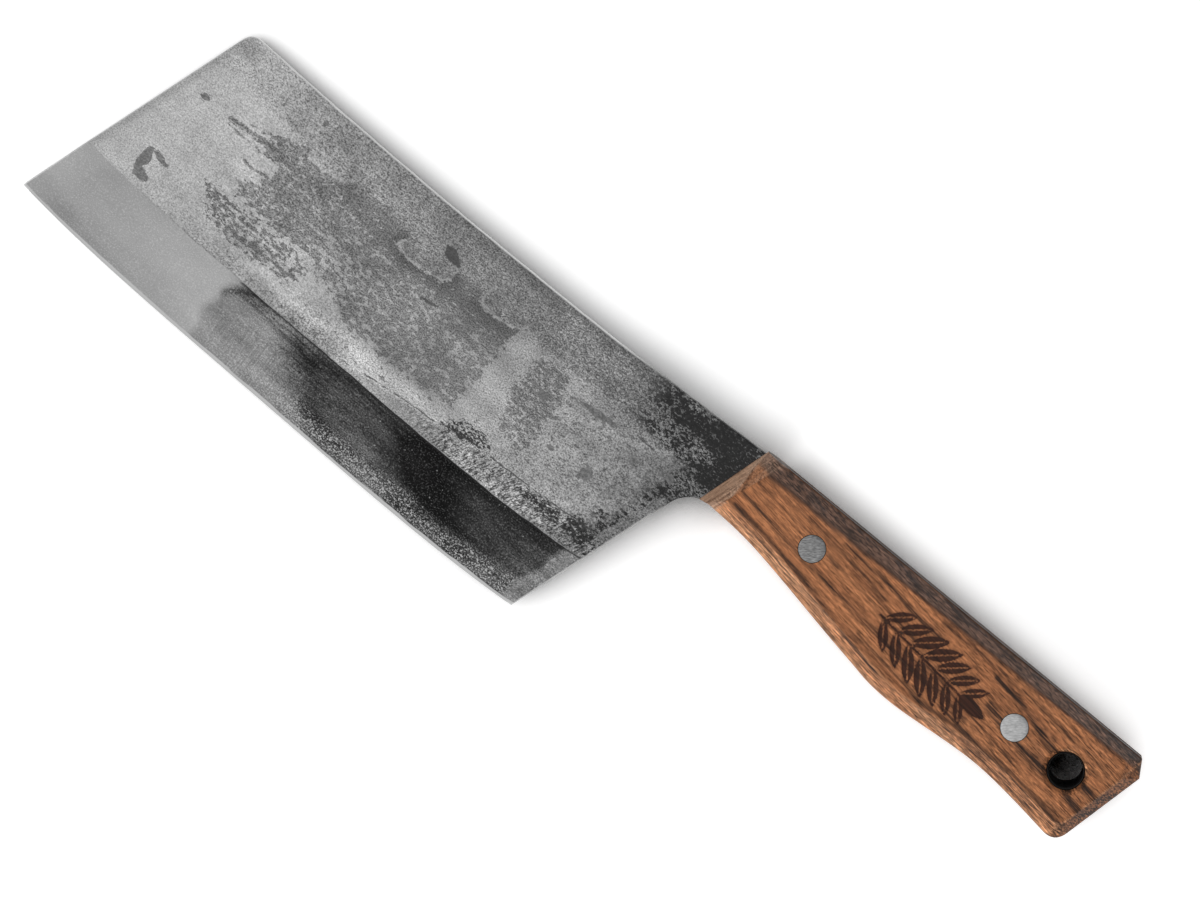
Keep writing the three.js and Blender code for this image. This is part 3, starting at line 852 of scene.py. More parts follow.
def leaf_depth(points, foot, turn, length, width):
    """Depth in a pointed leaf that grows from its foot."""
    radius = (length**2 + width**2) / (4 * width)
    along = np.array([math.cos(turn), math.sin(turn)])
    across = np.array([-along[1], along[0]])
    rel = points - np.asarray(foot) - along * length / 2
    u, v = rel @ along, rel @ across
    return radius - np.hypot(u, np.abs(v) + radius - width / 2)


SPRIG_FOOT = (48, -12.4)
SPRIG_TIP = (79.5, -15.8)
SPRIG_PAIRS = 7
LEAF_LENGTH = 11.2
LEAF_WIDTH = 3.5
LEAF_TURN = 47  # degrees from the stem
TIP_LEAF = 9
STEM_WIDTH = 0.7
RIB_WIDTH = 0.32
RIB_SHARE = 0.86  # of the leaf's length


def sprig_depth(points):
    """Depth in the burnt ornament, a sprig of leaves along the grip."""
    foot, tip = np.array(SPRIG_FOOT), np.array(SPRIG_TIP)
    way = tip - foot
    heading = math.atan2(way[1], way[0])
    depth = STEM_WIDTH / 2 - to_line(points, [foot, tip])
    for i in range(SPRIG_PAIRS):
        share = 0.04 + 0.84 * i / (SPRIG_PAIRS - 1)
        size = 1 - 0.35 * abs(share - 0.4) / 0.6
        for hand in (1, -1):
            root = foot + way * share
            turn = heading + hand * math.radians(LEAF_TURN)
            leaf = leaf_depth(points, root, turn, LEAF_LENGTH * size, LEAF_WIDTH * size)
            rib_end = root + RIB_SHARE * LEAF_LENGTH * size * np.array([math.cos(turn), math.sin(turn)])
            rib = to_line(points, [root, rib_end]) - RIB_WIDTH / 2
            depth = np.maximum(depth, np.minimum(leaf, rib))
    return np.maximum(depth, leaf_depth(points, tip - 0.12 * way, heading, TIP_LEAF, LEAF_WIDTH))


def grip(name, node, side, burnt, material):
    rings = grip_rings()
    top = SCALE_THICKNESS
    head_seat = top - RIVET_HEAD_DEPTH - CLEARANCE
    head, shank = RIVET_HEAD / 2 + CLEARANCE, SLEEVE / 2 + CLEARANCE
    bore = TUBE / 2 + CLEARANCE
    rivet_profile = [
        (head + RIVET_RIM, top), (head, top - RIVET_RIM), (head, head_seat), (shank, head_seat), (shank, 0),
    ]
    hole_profile = [
        (bore + COUNTERSINK + SINK_RIM, top), (bore + COUNTERSINK, top - 0.1),
        (bore + SINK_RIM, top - COUNTERSINK + 0.15), (bore, top - COUNTERSINK - 0.2), (bore, 0),
    ]
    seats = [(FRONT_RIVET, rivet_profile), (REAR_RIVET, rivet_profile), (HOLE, hole_profile)]

    vertices = np.concatenate(rings)
    faces = walls(len(rings), len(rings[0]))
    for centre, profile in seats:
        first = len(vertices)
        loops = [at_height(circle(centre, radius, ROUND), height) for radius, height in profile]
        vertices = np.concatenate([vertices, *loops])
        faces += [face[::-1] for face in walls(len(profile), ROUND, first)]
    for height, outline, row in [(top, rings[-1][:, :2], 0), (0.0, rings[0][:, :2], -1)]:
        mouths = [circle(centre, profile[row][0], ROUND) for centre, profile in seats]
        step = BURNT_GRID if height and burnt else FLAT_GRID
        loose = hex_points(-8, HANDLE_LENGTH, *GRIP_FIELD, step)
        loose = loose[inside(loose, outline)]
        loose = loose[nearest_distance(loose, np.concatenate([outline, *mouths])) > RIM_ROOM]
        flat, triangles = filled(outline, mouths, loose)
        first = len(vertices)
        vertices = np.concatenate([vertices, at_height(flat, height)])
        for t in triangles:
            face = [first + i for i in t]
            faces.append(face if height else face[::-1])
    on_flat = np.abs(vertices[:, 2] - top) < 1e-6
    burn = np.full(len(vertices), UNBURNT)
    if burnt:
        burn[on_flat] = sprig_depth(vertices[on_flat, :2])
        vertices[:, 2] -= SPRIG_DEPTH * smooth(burn, -0.1, 0.3)
    vertices[:, 2] += SCALE_SEAT
    if side < 0:
        vertices = vertices * (1, 1, -1)
        faces = [face[::-1] for face in faces]
    values = {"burn": burn, **wood_fields(vertices)}
    piece(name, vertices, faces, GRIP_CREASE, material, node, values)


# Wood figure, in the knife's millimetres on the flat: a line, its width and how dark it is
STREAKS = [
    ([(30, -4.3), (45, -5.6), (62, -7.6)], 1.2, 0.7),
    ([(18, -4.8), (32, -6.6), (47, -9.2)], 0.9, 0.6),
    ([(35, -8), (52, -11.2), (60, -12.4)], 0.8, 0.55),
    ([(-2, -10.6), (25, -14), (52, -17.2), (80, -19.6)], 1.1, 0.65),
    ([(1, -14.4), (18, -16.4), (30, -18.6), (42, -21.6), (58, -25.6)], 1.1, 0.7),
    ([(79, -6.4), (90, -8), (97, -10.4), (103, -12)], 1.4, 0.95),
    ([(108, -12.8), (116, -13.8), (128, -15.4)], 1.6, 1.0),
    ([(81, -12.4), (92, -15.5), (110, -17.5), (128, -21.4)], 1.6, 0.9),
    ([(72, -21), (90, -22.6), (108, -24.5), (128, -27)], 1.1, 0.6),
    ([(60, -4), (85, -4.6), (110, -6.5), (128, -8)], 0.8, 0.5),
    ([(2, -6), (20, -8.2), (34, -10.4)], 0.7, 0.5), ([(4, -17), (22, -20.5), (40, -25)], 0.7, 0.55),
    ([(62, -14.6), (76, -17.4), (96, -19.8)], 0.7, 0.5), ([(48, -20), (70, -24), (96, -28)], 0.9, 0.5),
    ([(4, -4), (24, -5), (46, -6.8)], 2.4, 0.3), ([(26, -6.6), (46, -8.8)], 2.0, 0.3),
]
BUTT_STREAKS = [
    ([(115, -13.8), (119, -14), (123, -10)], 1.7), ([(114, -19.2), (118, -20.4), (121.5, -16.4)], 1.5),
]
SPINE_BLOTCHES = [
    ((29, -1.6), 4, 1.3), ((15, -1), 3, 1), ((51, -1.2), 3, 0.9), ((63, -0.8), 2.4, 0.8),
    ((108, -0.3), 3, 0.9),
]


def wood_fields(vertices):
    """Where a grip's wood is streaked, where shade and light are painted on it, where it is cut across the
    grain, and where its bevels and walls lie.
    """
    x, y, z = vertices.T
    drop = SCALE_SEAT + SCALE_THICKNESS - np.abs(z)
    level = np.stack([x, y - drop], -1)
    wander = np.stack([noise(level, 12, 31, 2, 3), noise(level, 6, 33, 3, 5)], -1) - 0.5
    ragged = level + wander * (6, 1.6)
    streak_and_shade = np.zeros(len(vertices))
    for line, width, strength in STREAKS:
        streak_and_shade = np.maximum(streak_and_shade, strength * smooth(to_line(ragged, line), width, 0.15 * width))
    sloped = smooth(drop, 0.1, 0.5)
    spine_line = HANDLE_RISE - top_bevel(x)
    up_spine = np.clip((y - spine_line) / top_bevel(x), -0.3, 1.2)
    ramp_end = handle_front_x(y) + RAMP_WIDTH + RAMP_TWIST * np.maximum(y + RIDGE_TOP_DEPTH, 0)
    end_grain = sloped * smooth(ramp_end - x, -0.2, 0.6)
    climb = np.clip((-y - RIDGE_FOOT_DEPTH) / (RIDGE_TOP_DEPTH - RIDGE_FOOT_DEPTH), 0, 1)
    past_butt = x - butt_x(y) + BUTT_BEVEL
    in_sink = smooth(TUBE / 2 + COUNTERSINK + 0.6 - np.hypot(x - HOLE[0], y - HOLE[1]), 0, 0.4) * sloped
    under_ridge = smooth(UNDERSIDE_BEVEL + 1 + underside_y(x) - y, 0, 1)
    plan = np.stack([x, y], -1)
    blotch = np.zeros(len(vertices))
    for centre, along, across in SPINE_BLOTCHES:
        deep = ellipse_depth(plan + wander * (2, 0.6), centre, along, across)
        blotch = np.maximum(blotch, smooth(deep, 0, 0.7))
    streak_and_shade = np.maximum(streak_and_shade, 0.85 * blotch * smooth(up_spine, 0, 0.15))
    streak_and_shade = np.maximum(streak_and_shade, 0.5 * sloped * smooth(past_butt, -0.4, 0.4))
    # Painted shade on the countersink's side away from the light, and painted light on its other side
    streak_and_shade = np.maximum(streak_and_shade, 0.6 * in_sink * smooth(HOLE[1] - y, -3.5, 3))
    sunlit = in_sink * smooth(y - HOLE[1], 0, 3.5)
    for line, width in BUTT_STREAKS:
        near = smooth(to_line(plan + 0.6 * wander, line), width, 0.3 * width)
        streak_and_shade = np.maximum(streak_and_shade, 0.95 * sloped * near)
    # Painted light: the underside bevel faces the light and is made paler, and so is the countersink's lit
    # side
    lit_side = sloped * under_ridge * (1 - end_grain) * smooth(HANDLE_LENGTH - x, 4, 10)
    return {
        "streak_and_shade": streak_and_shade,
        "up_spine": up_spine - 0.2 * end_grain,
        "lit_side": np.maximum(lit_side, sunlit),
        "end_grain": end_grain,
        "past_facet": x - handle_front_x(y) - RAMP_WIDTH * climb,
        "past_butt": past_butt,
        "over_ridge": y - underside_y(x) - UNDERSIDE_BEVEL,
        "along": np.clip(x / HANDLE_LENGTH, 0, 1),
        "wall": smooth(drop / (SCALE_THICKNESS - SIDE_HEIGHT), 0.85, 1.05),
    }


# Rivets and liner
LATHE_SIDES = 96
SOFT_EDGE = 0.08
TUBE_SOFT = 0.15
RIVET_CREASE = 40  # degrees
LINER_CREASE = 60


def lathe(profile, centre):
    """Vertices and faces of a profile of (radius, z) turned about a centre."""
    closed = profile[0] == profile[-1]
    rows = profile[:-1] if closed else profile
    loops = [at_height(circle(centre, radius, LATHE_SIDES), z) for radius, z in rows]
    return np.concatenate(loops), walls(len(rows), LATHE_SIDES, wrapped=closed)


def softened(radius, z):
    """Three points round the outer edge of a rivet's head."""
    bend = 0.3 * SOFT_EDGE
    return [(radius - SOFT_EDGE, z), (radius - bend, z - bend), (radius, z - SOFT_EDGE)]


def rivet(name, centre, material):
    top = HANDLE_THICKNESS / 2
    foot = top - RIVET_HEAD_DEPTH
    shank_end = RIVET_SHORT - foot
    head = RIVET_HEAD / 2
    bore = PIN / 2 + CLEARANCE
    cap = [(0, top), (0.6 * head, top), *softened(head, top), (head, foot)]
    shank = [(SLEEVE / 2, foot), (SLEEVE / 2, shank_end)]
    sleeve = [*cap, *shank, (bore, shank_end), (bore, foot), (0, foot)]
    pin = [*cap, (PIN / 2, foot), (PIN / 2, shank_end), (0, shank_end)]
    for half, kind, profile, side in [("upper", "sleeve", sleeve, 1), ("lower", "pin", pin, -1)]:
        vertices, faces = lathe(profile, centre)
        vertices = vertices * (1, 1, side)
        piece(f"{name}_{half}", vertices, faces, RIVET_CREASE, material, f"{name}_{kind}")


def liner(material):
    half = HANDLE_THICKNESS / 2 - COUNTERSINK - TUBE_SETBACK
    outer, inner = TUBE / 2, TUBE / 2 - TUBE_WALL
    middle = (outer + inner) / 2
    shoulder = half - TUBE_SOFT
    profile = [
        (inner, -shoulder), (middle, -half), (outer, -shoulder), (outer, shoulder), (middle, half),
        (inner, shoulder), (inner, -shoulder),
    ]
    vertices, faces = lathe(profile, HOLE)
    piece("hole_liner", vertices, faces, LINER_CREASE, material, "lanyard_tube")


# Materials
FORGED_LEVEL = 0.88  # what the written tones are drawn down by, for the light that metal gathers
GROUND_LEVEL = 0.78


class Number:
    """A number that nodes give, which makes more nodes when it is added, multiplied and so on."""

    def __init__(self, graph, socket):
        self.graph = graph
        self.socket = socket

    def __add__(self, other):
        return self.graph.math("ADD", self, other)

    def __sub__(self, other):
        return self.graph.math("SUBTRACT", self, other)

    def __rsub__(self, other):
        return self.graph.math("SUBTRACT", other, self)

    def __mul__(self, other):
        return self.graph.math("MULTIPLY", self, other)

    def __abs__(self):
        return self.graph.math("ABSOLUTE", self)


class Graph:
    """Short ways to add and join the nodes of one material."""

    def __init__(self, name):
        self.material = bpy.data.materials.new(name)
        self.material.use_nodes = True
        tree = self.material.node_tree
        self.nodes, self.links = tree.nodes, tree.links
        self.nodes.clear()
        self.shader = self.nodes.new("ShaderNodeBsdfPrincipled")
        self.output = self.nodes.new("ShaderNodeOutputMaterial")
        self.links.new(self.shader.outputs["BSDF"], self.output.inputs["Surface"])
        metres = self.add("ShaderNodeTexCoord", {}).outputs["Object"]
        millimetres = self.add("ShaderNodeVectorMath", {0: metres, "Scale": 1 / MM}, operation="SCALE")
        self.where = millimetres.outputs[0]

    def feed(self, socket, value):
        if isinstance(value, Number):
            value = value.socket
        if isinstance(value, bpy.types.NodeSocket):
            self.links.new(value, socket)
        else:
            socket.default_value = value

    def add(self, kind, inputs, **settings):
        made = self.nodes.new(kind)
        for name, value in settings.items():
            setattr(made, name, value)
        for key, value in inputs.items():
            self.feed(made.inputs[key], value)
        return made

    def look(self, **sockets):
        """Set or link the shader's own sockets, with spaces in their names written as underscores."""
        for name, value in sockets.items():
            self.feed(self.shader.inputs[name.replace("_", " ")], value)

    def attribute(self, name):
        return Number(self, self.add("ShaderNodeAttribute", {}, attribute_name=name).outputs["Fac"])

    def stretched(self, size, turn):
        """Coordinates in which a grain of this size in millimetres is one unit."""
        inputs = {"Vector": self.where, "Angle": math.radians(turn)}
        turned = self.add("ShaderNodeVectorRotate", inputs, rotation_type="Z_AXIS").outputs[0]
        share = [1 / s for s in size]
        return self.add("ShaderNodeVectorMath", {0: turned, 1: share}, operation="MULTIPLY").outputs[0]

    def noise(self, size, detail=3.0, roughness=0.55, distortion=0.0, turn=0.0):
        """Noise with a grain of this size in millimetres, turned by degrees about z."""
        inputs = {"Vector": self.stretched(size, turn), "Scale": 1.0}
        inputs |= {"Detail": detail, "Roughness": roughness, "Distortion": distortion}
        made = self.add("ShaderNodeTexNoise", inputs)
        return Number(self, made.outputs["Fac"])

    def math(self, operation, a, b=0.0):
        return Number(self, self.add("ShaderNodeMath", {0: a, 1: b}, operation=operation).outputs[0])

    def ramp(self, value, low, high, start=0.0, end=1.0):
        """A smooth step of the value between low and high, from start to end."""
        sockets = {"Value": value, "From Min": low, "From Max": high, "To Min": start, "To Max": end}
        made = self.add("ShaderNodeMapRange", sockets, interpolation_type="SMOOTHSTEP")
        return Number(self, made.outputs["Result"])

    def blend(self, share, low, high):
        """A number between low and high."""
        made = self.add("ShaderNodeMix", {"Factor": share, "A": low, "B": high}, data_type="FLOAT")
        return Number(self, made.outputs["Result"])

    def colours(self, share, low, high):
        made = self.nodes.new("ShaderNodeMix")
        made.data_type = "RGBA"
        self.feed(made.inputs["Factor"], share)
        for socket, value in zip([s for s in made.inputs if s.type == "RGBA"], (low, high)):
            self.feed(socket, value)
        return next(s for s in made.outputs if s.type == "RGBA")

    def grey(self, tone):
        made = self.add("ShaderNodeCombineColor", {"Red": tone, "Green": tone, "Blue": tone})
        return made.outputs["Color"]

    def shaded(self, colour, factor):
        return self.add("ShaderNodeVectorMath", {0: colour, "Scale": factor}, operation="SCALE").outputs[0]

    def bump(self, height, distance):
        made = self.add("ShaderNodeBump", {"Strength": 1.0, "Distance": distance * MM, "Height": height})
        return made.outputs["Normal"]


HATCH_TURN = 32  # degrees that the strokes under the seam lean
FAN_TURN = 4  # degrees that the fan of lines under the forged side leans


def steel():
    g = Graph("forged_steel")
    cover, from_grind = g.attribute("cover"), g.attribute("from_grind")
    mark, island = g.attribute("mark"), g.attribute("island")

    # Forged side: flakes of dark scale over bare metal
    axis = g.add("ShaderNodeSeparateXYZ", {0: g.where})
    flakes = g.noise((2.0, 1.1, 1.4), 6.0, 0.72, 0.35)
    fine = g.noise((0.7, 0.46, 0.5), 3.0, 0.6)
    dust = g.noise((0.44, 0.36, 0.4), 2.0, 0.6)
    coarse = flakes * 0.85 + fine * 0.15
    small = flakes * 0.3 + fine * 0.7
    grain = g.blend(g.attribute("fineness"), coarse, small)
    level = grain + (cover - 0.5) * 0.36
    sharp = g.blend(g.attribute("fineness"), 4.5, 1.2)
    scale = g.ramp((level - 0.512) * sharp, -0.05, 0.05)
    cloud = g.noise((9, 5, 6), 4.0, 0.6)
    gritty = (dust - 0.5) * g.attribute("grit")
    clouded = g.attribute("clouded")
    broad = g.ramp(g.noise((24, 12, 12), 3.0, 0.6), 0.3, 0.7, 0.84, 1.16)
    broad = g.blend(clouded, 1.0, broad)
    bare = g.attribute("bare") * g.blend(clouded, 1.0, g.ramp(cloud, 0.28, 0.72, 0.8, 1.2))
    bare = bare * (gritty + 1.0)
    crust = g.attribute("crust") * g.ramp(dust, 0.3, 0.7, 0.36, 1.64)
    crust = crust * g.ramp(cloud, 0.25, 0.75, 0.82, 1.18)
    forged = g.blend(scale, bare, crust) * broad
    strokes = g.noise((0.42, 1.4, 1), 3.0, 0.65, turn=HATCH_TURN)
    hatch = g.blend(g.attribute("hatched"), 1.0, g.ramp(strokes, 0.36, 0.62, 0.18, 1.5))
    forged = forged * hatch
    # Painted highlight: a light line round the edges of the raised tongues of scale
    rim = g.ramp(island, -0.3, -0.05) * g.ramp(island, 0.25, 0.0)
    rim = rim * g.ramp(axis.outputs["Y"], -10.5, -12.5)
    forged = g.blend(rim * 0.45, forged, 0.38)
    stain = g.ramp(g.attribute("stain") + (flakes - 0.5) * 3.4, -0.1, 0.1)
    forged = g.blend(stain * 0.9, forged, g.ramp(small, 0.4, 0.62, 0.09, 0.21))
    dent = g.ramp(mark + (fine - 0.5) * 0.8, -0.12, 0.15)
    forged = g.blend(dent * 0.9, forged, g.ramp(fine, 0.3, 0.7, 0.04, 0.09))
    seam_breaks = g.ramp(g.noise((4, 3, 3), 3.0), 0.36, 0.52)
    to_seam = abs(g.attribute("above_seam") + g.ramp(fine, 0.3, 0.7, -0.15, 0.15))
    seam = g.ramp(to_seam, 0.3, 0.08) * seam_breaks * g.attribute("seam")
    forged = g.blend(seam * 0.85, forged, 0.04)
    # Painted shade: a thin dark line along the step at the grind line
    brink = g.ramp(abs(from_grind - 0.1), 0.3, 0.05)
    forged = g.blend(brink * 0.4, forged, 0.2)

    # Ground bevel: its painted reflection, fine lines square to the edge, a fan of lines under the forged
    # side, and specks of dust
    lines = g.noise((0.4, 14, 4), 2.0, 0.5)
    smoke = g.noise((18, 6, 8), 4.0, 0.6)
    fan = g.noise((16, 0.7, 4), 2.0, 0.5, turn=FAN_TURN)
    brush = g.noise((12, 0.5, 3), 3.0, 0.6)
    clumps = g.noise((2.6, 1.4, 2), 3.0, 0.6)
    darkness = g.ramp(g.attribute("polish_and_reflection"), 0.34, 0.08)
    swing = (lines - 0.5) * g.attribute("lined") * 4.5
    polish_and_reflection = g.attribute("polish_and_reflection") * (swing + 1.0)
    drift = (smoke - 0.5) * g.blend(darkness, 0.3, 4.2)
    drift = drift + (brush - 0.5) * g.blend(darkness, 0.0, 1.6)
    polish_and_reflection = polish_and_reflection * g.math("MAXIMUM", drift + 1.0, 0.25)
    dusty = (dust - 0.5) * g.blend(darkness, 0.5, 4.0)
    polish_and_reflection = polish_and_reflection * g.math("MAXIMUM", dusty + 1.0, 0.2)
    polish_and_reflection = polish_and_reflection + g.ramp(dust, 0.54, 0.7, 0.0, 0.06)
    polish_and_reflection = polish_and_reflection * g.blend(g.attribute("fanned"), 1.0, g.ramp(fan, 0.35, 0.6, 0.45, 1.25))
    speckle = g.ramp(dust, 0.5, 0.64) * g.ramp(clumps, 0.32, 0.58, 0.4, 1.0)
    polish_and_reflection = g.blend(speckle * g.attribute("speckled") * 0.9, polish_and_reflection, 0.53)
    # A painted dark line of the reflection along the grind line, where the bevel is dark
    darkened = g.ramp(g.attribute("polish_and_reflection"), 0.3, 0.24)
    edge_line = g.ramp(from_grind, -0.7, -0.15) * darkened
    polish_and_reflection = g.blend(edge_line * 0.85, polish_and_reflection, 0.02)
    hone = g.ramp(from_grind, HONE_WIDTH - GRIND_WIDTH + 0.15, HONE_WIDTH - GRIND_WIDTH - 0.15)
    ground = g.ramp(from_grind, 0.06, -0.06)
    motes = g.add("ShaderNodeTexVoronoi", {"Vector": g.stretched((1.4, 1.4, 1.4), 0), "Scale": 1.0})
    chance = g.add("ShaderNodeSeparateColor", {"Color": motes.outputs["Color"]})
    mote = g.ramp(motes.outputs["Distance"], 0.2, 0.08) * g.ramp(chance.outputs["Red"], 0.84, 0.96)
    polish_and_reflection = g.blend(mote * 0.7, g.blend(hone, polish_and_reflection, 0.5), 0.4)
    tone = g.blend(ground, forged * FORGED_LEVEL, polish_and_reflection * GROUND_LEVEL)
    # Painted highlight on the arrises, with some real rubbing
    tone = g.blend(g.attribute("rubbed_and_highlit"), tone, 0.7)
    g.look(
        Base_Color=g.grey(tone),
        Metallic=g.blend(ground, g.blend(scale, 0.7, 0.4), 0.9),
        Roughness=g.blend(ground, g.blend(scale, 0.42, 0.56), 0.3),
        Normal=g.bump(g.blend(ground, fine + scale * 0.3, lines), 0.02),
    )
    return g.material


# Colours of the wood
WOOD_LIGHT = (0.5, 0.2, 0.082, 1)
WOOD_MIDDLE = (0.31, 0.117, 0.047, 1)
WOOD_DARK_AND_SHADE = (0.045, 0.02, 0.011, 1)
WOOD_SPINE_BLOTCH = (0.03, 0.025, 0.025, 1)
WOOD_SPINE_SHADE = (0.122, 0.069, 0.049, 1)
WOOD_LIT = (0.55, 0.27, 0.138, 1)
WOOD_END_LIGHT_AND_HIGHLIGHT = (0.55, 0.36, 0.25, 1)
WOOD_END_DARK = (0.17, 0.105, 0.07, 1)
BURNT = (0.042, 0.011, 0.004, 1)
GRAIN_TURN = 7  # degrees that the grain leans


def wood():
    g = Graph("oiled_walnut")
    along, end_grain = g.attribute("along"), g.attribute("end_grain")
    warp = g.noise((70, 14, 28), 2.0, turn=GRAIN_TURN)
    bands = g.noise((56, 2.4, 5), 3.0, 0.6, 0.3, turn=GRAIN_TURN)
    fibres = g.noise((12, 0.5, 1.2), 3.0, 0.65, turn=GRAIN_TURN)
    pores = g.noise((4, 0.28, 0.8), 2.0, 0.5, turn=GRAIN_TURN)
    mottle = g.noise((2.2, 0.4, 0.8), 2.0, 0.6, turn=GRAIN_TURN)
    blotches = g.noise((9, 2.2, 3.4), 4.0, 0.65, turn=GRAIN_TURN)
    colour = g.colours(g.ramp(bands, 0.3, 0.68), WOOD_MIDDLE, WOOD_LIGHT)
    # Painted light: paler wood where it faces the light, on the underside bevel and in the countersink
    lit_paleness = g.attribute("lit_side") * g.ramp(bands, 0.4, 0.6, 0.95, 0.25)
    colour = g.colours(lit_paleness, colour, WOOD_LIT)

    # The spine bevel, painted in shade: a grey brown with a sheen, partly also darker wood, darker in
    # blotches away from the flat and along its foot
    up_spine = g.attribute("up_spine") + (blotches - 0.5) * 0.5
    spine_shade = g.ramp(up_spine, -0.3, 0.05, 0.0, 0.95)
    colour = g.colours(spine_shade, colour, WOOD_SPINE_SHADE)
    dark_spine_blotches = g.ramp(blotches + up_spine * 0.16, 0.62, 0.72)
    colour = g.colours(dark_spine_blotches * g.ramp(up_spine, 0.1, 0.5, 0.0, 0.65), colour, WOOD_SPINE_BLOTCH)
    # Painted shade: a dark line along the foot of the spine bevel, at its ridge with the flat
    foot_shade_line = g.ramp(abs(up_spine + 0.05), 0.26, 0.06, 0.0, 0.45)
    colour = g.colours(foot_shade_line, colour, WOOD_DARK_AND_SHADE)

    # End grain on the two front facets, and a painted highlight along the ridge between them
    past_facet = g.attribute("past_facet")
    end_lines = g.noise((0.55, 8, 8), 4.0, 0.65, turn=HANDLE_FRONT_SLANT)
    ends = g.colours(g.ramp(end_lines, 0.34, 0.66), WOOD_END_DARK, WOOD_END_LIGHT_AND_HIGHLIGHT)
    colour = g.colours(end_grain * g.ramp(past_facet, -0.2, 0.2, 0.85, 0.35), colour, ends)
    # Painted highlight along the ridge between the two front facets
    ridge = g.ramp(abs(past_facet), 0.5, 0.1) * end_grain
    colour = g.colours(ridge * 0.55, colour, WOOD_END_LIGHT_AND_HIGHLIGHT)

    # A dark line and a painted highlight along the ridge over the underside bevel, and a painted highlight
    # before the butt's
    over_ridge = g.attribute("over_ridge") + g.ramp(fibres, 0.3, 0.7, -0.2, 0.2)
    on_side = (1.0 - end_grain) * g.ramp(bands, 0.36, 0.6, 0.2, 1.0)
    shade_line = g.ramp(abs(over_ridge - 0.9), 0.85, 0.15) * on_side
    colour = g.colours(shade_line * 0.75, colour, WOOD_DARK_AND_SHADE)
    ridge_highlight = g.ramp(abs(over_ridge + 0.1), 0.5, 0.1) * on_side
    ridge_highlight = g.math("MAXIMUM", ridge_highlight, g.ramp(abs(g.attribute("past_butt")), 0.45, 0.1))
    colour = g.colours(ridge_highlight * 0.5, colour, WOOD_LIT)

    # Veins, streaks with the painted shade in the countersink, pores and the fine grain, which gets stronger
    # towards the butt
    veins = g.ramp(bands, 0.54, 0.68) * g.ramp(warp, 0.4, 0.6)
    colour = g.colours(veins * g.blend(along, 0.25, 0.55), colour, WOOD_DARK_AND_SHADE)
    streak_and_shade = g.attribute("streak_and_shade") * g.ramp(fibres, 0.34, 0.64, 1.6, 0.5)
    colour = g.colours(streak_and_shade, colour, WOOD_DARK_AND_SHADE)
    calm = g.blend(g.attribute("wall"), 1.0, 0.4)
    dashes = g.ramp(pores, 0.57, 0.66)
    dashed = dashes * calm * g.blend(along, 0.4, 0.75)
    colour = g.colours(dashed, colour, WOOD_DARK_AND_SHADE)
    sharpness = g.blend(along, 0.7, 2.4) + g.attribute("lit_side") * 2.8
    swing = (fibres - 0.5) * sharpness * calm
    colour = g.shaded(colour, g.math("MAXIMUM", swing + 1.0, 0.3))
    fineness = g.blend(along, 1.9, 3.2) + g.attribute("lit_side")
    fineness = g.blend(g.ramp(up_spine, 0.0, 0.3), fineness, 6.0) * calm
    specks = (mottle - 0.5) * fineness
    colour = g.shaded(colour, g.math("MAXIMUM", specks + 1.0, 0.3))
    colour = g.shaded(colour, g.ramp(along, 0.0, 1.0, 0.98, 0.86))

    # The burnt ornament
    speckle = g.noise((0.5, 0.5, 0.5), 2.0)
    burn = g.attribute("burn") + (speckle - 0.5) * 0.5
    charred = g.shaded(g.colours(dashes, BURNT, WOOD_DARK_AND_SHADE), g.ramp(fibres, 0.28, 0.72, 0.4, 1.3))
    colour = g.colours(g.ramp(burn, -0.5, 0.05, 0.0, 0.35), colour, BURNT)
    colour = g.colours(g.ramp(burn, -0.05, 0.16), colour, charred)
    height = fibres * 0.4 - dashes
    g.look(
        Base_Color=colour,
        Roughness=g.ramp(fibres, 0.3, 0.7, 0.56, 0.46),
        Normal=g.bump(height, 0.03),
        Specular_IOR_Level=g.ramp(g.attribute("up_spine"), 0.85, 1.0, 0.2, 0.0),
    )
    return g.material


def rivet_metal(name, tone, swing):
    g = Graph(name)
    brushed = g.noise((1.2, 0.22, 1), 2.0, 0.6, turn=-KNIFE_TURN)
    stains = g.noise((1.6, 1.2, 1), 3.0, 0.6)
    level = g.ramp(brushed, 0.3, 0.7, (1 - swing) * tone, (1 + swing) * tone)
    level = level * g.ramp(stains, 0.3, 0.7, 0.93, 1.07)
    g.look(
        Base_Color=g.grey(level),
        Metallic=1.0,
        Roughness=g.ramp(stains, 0.3, 0.7, 0.38, 0.3),
        Normal=g.bump(brushed, 0.01),
    )
    return g.material


def liner_black():
    g = Graph("liner_black")
    scuffs = g.noise((1.2, 1.2, 3), 3.0, 0.6)
    g.look(
        Base_Color=g.grey(g.ramp(scuffs, 0.3, 0.75, 0.006, 0.012)),
        Roughness=g.ramp(scuffs, 0.3, 0.7, 0.55, 0.42),
        Normal=g.bump(scuffs, 0.004),
        Specular_IOR_Level=0.3,
    )
    return g.material


# Floor, light and camera
FLOOR_SIZE = 8.0
FLOOR_WHITE = 0.97
SOFTBOX = (2.2, 1.8)
SOFTBOX_DISTANCE = 1.35
SOFTBOX_LEAN = 28  # degrees from straight above
SOFTBOX_TURN = 30  # degrees from the picture's left towards its bottom
SOFTBOX_POWER = 9.6
WORLD_LIGHT = 0.6
FLOOR_LIFT = 0.45
SHADOW_LEAN = 30  # degrees from straight above, how far the floor looks to the picture's left for its shadow
BLADE_REACH = 0.021  # metres
NECK_REACH = 0.036
GRIP_REACH = 0.010
HOLE_REACH = 0.02


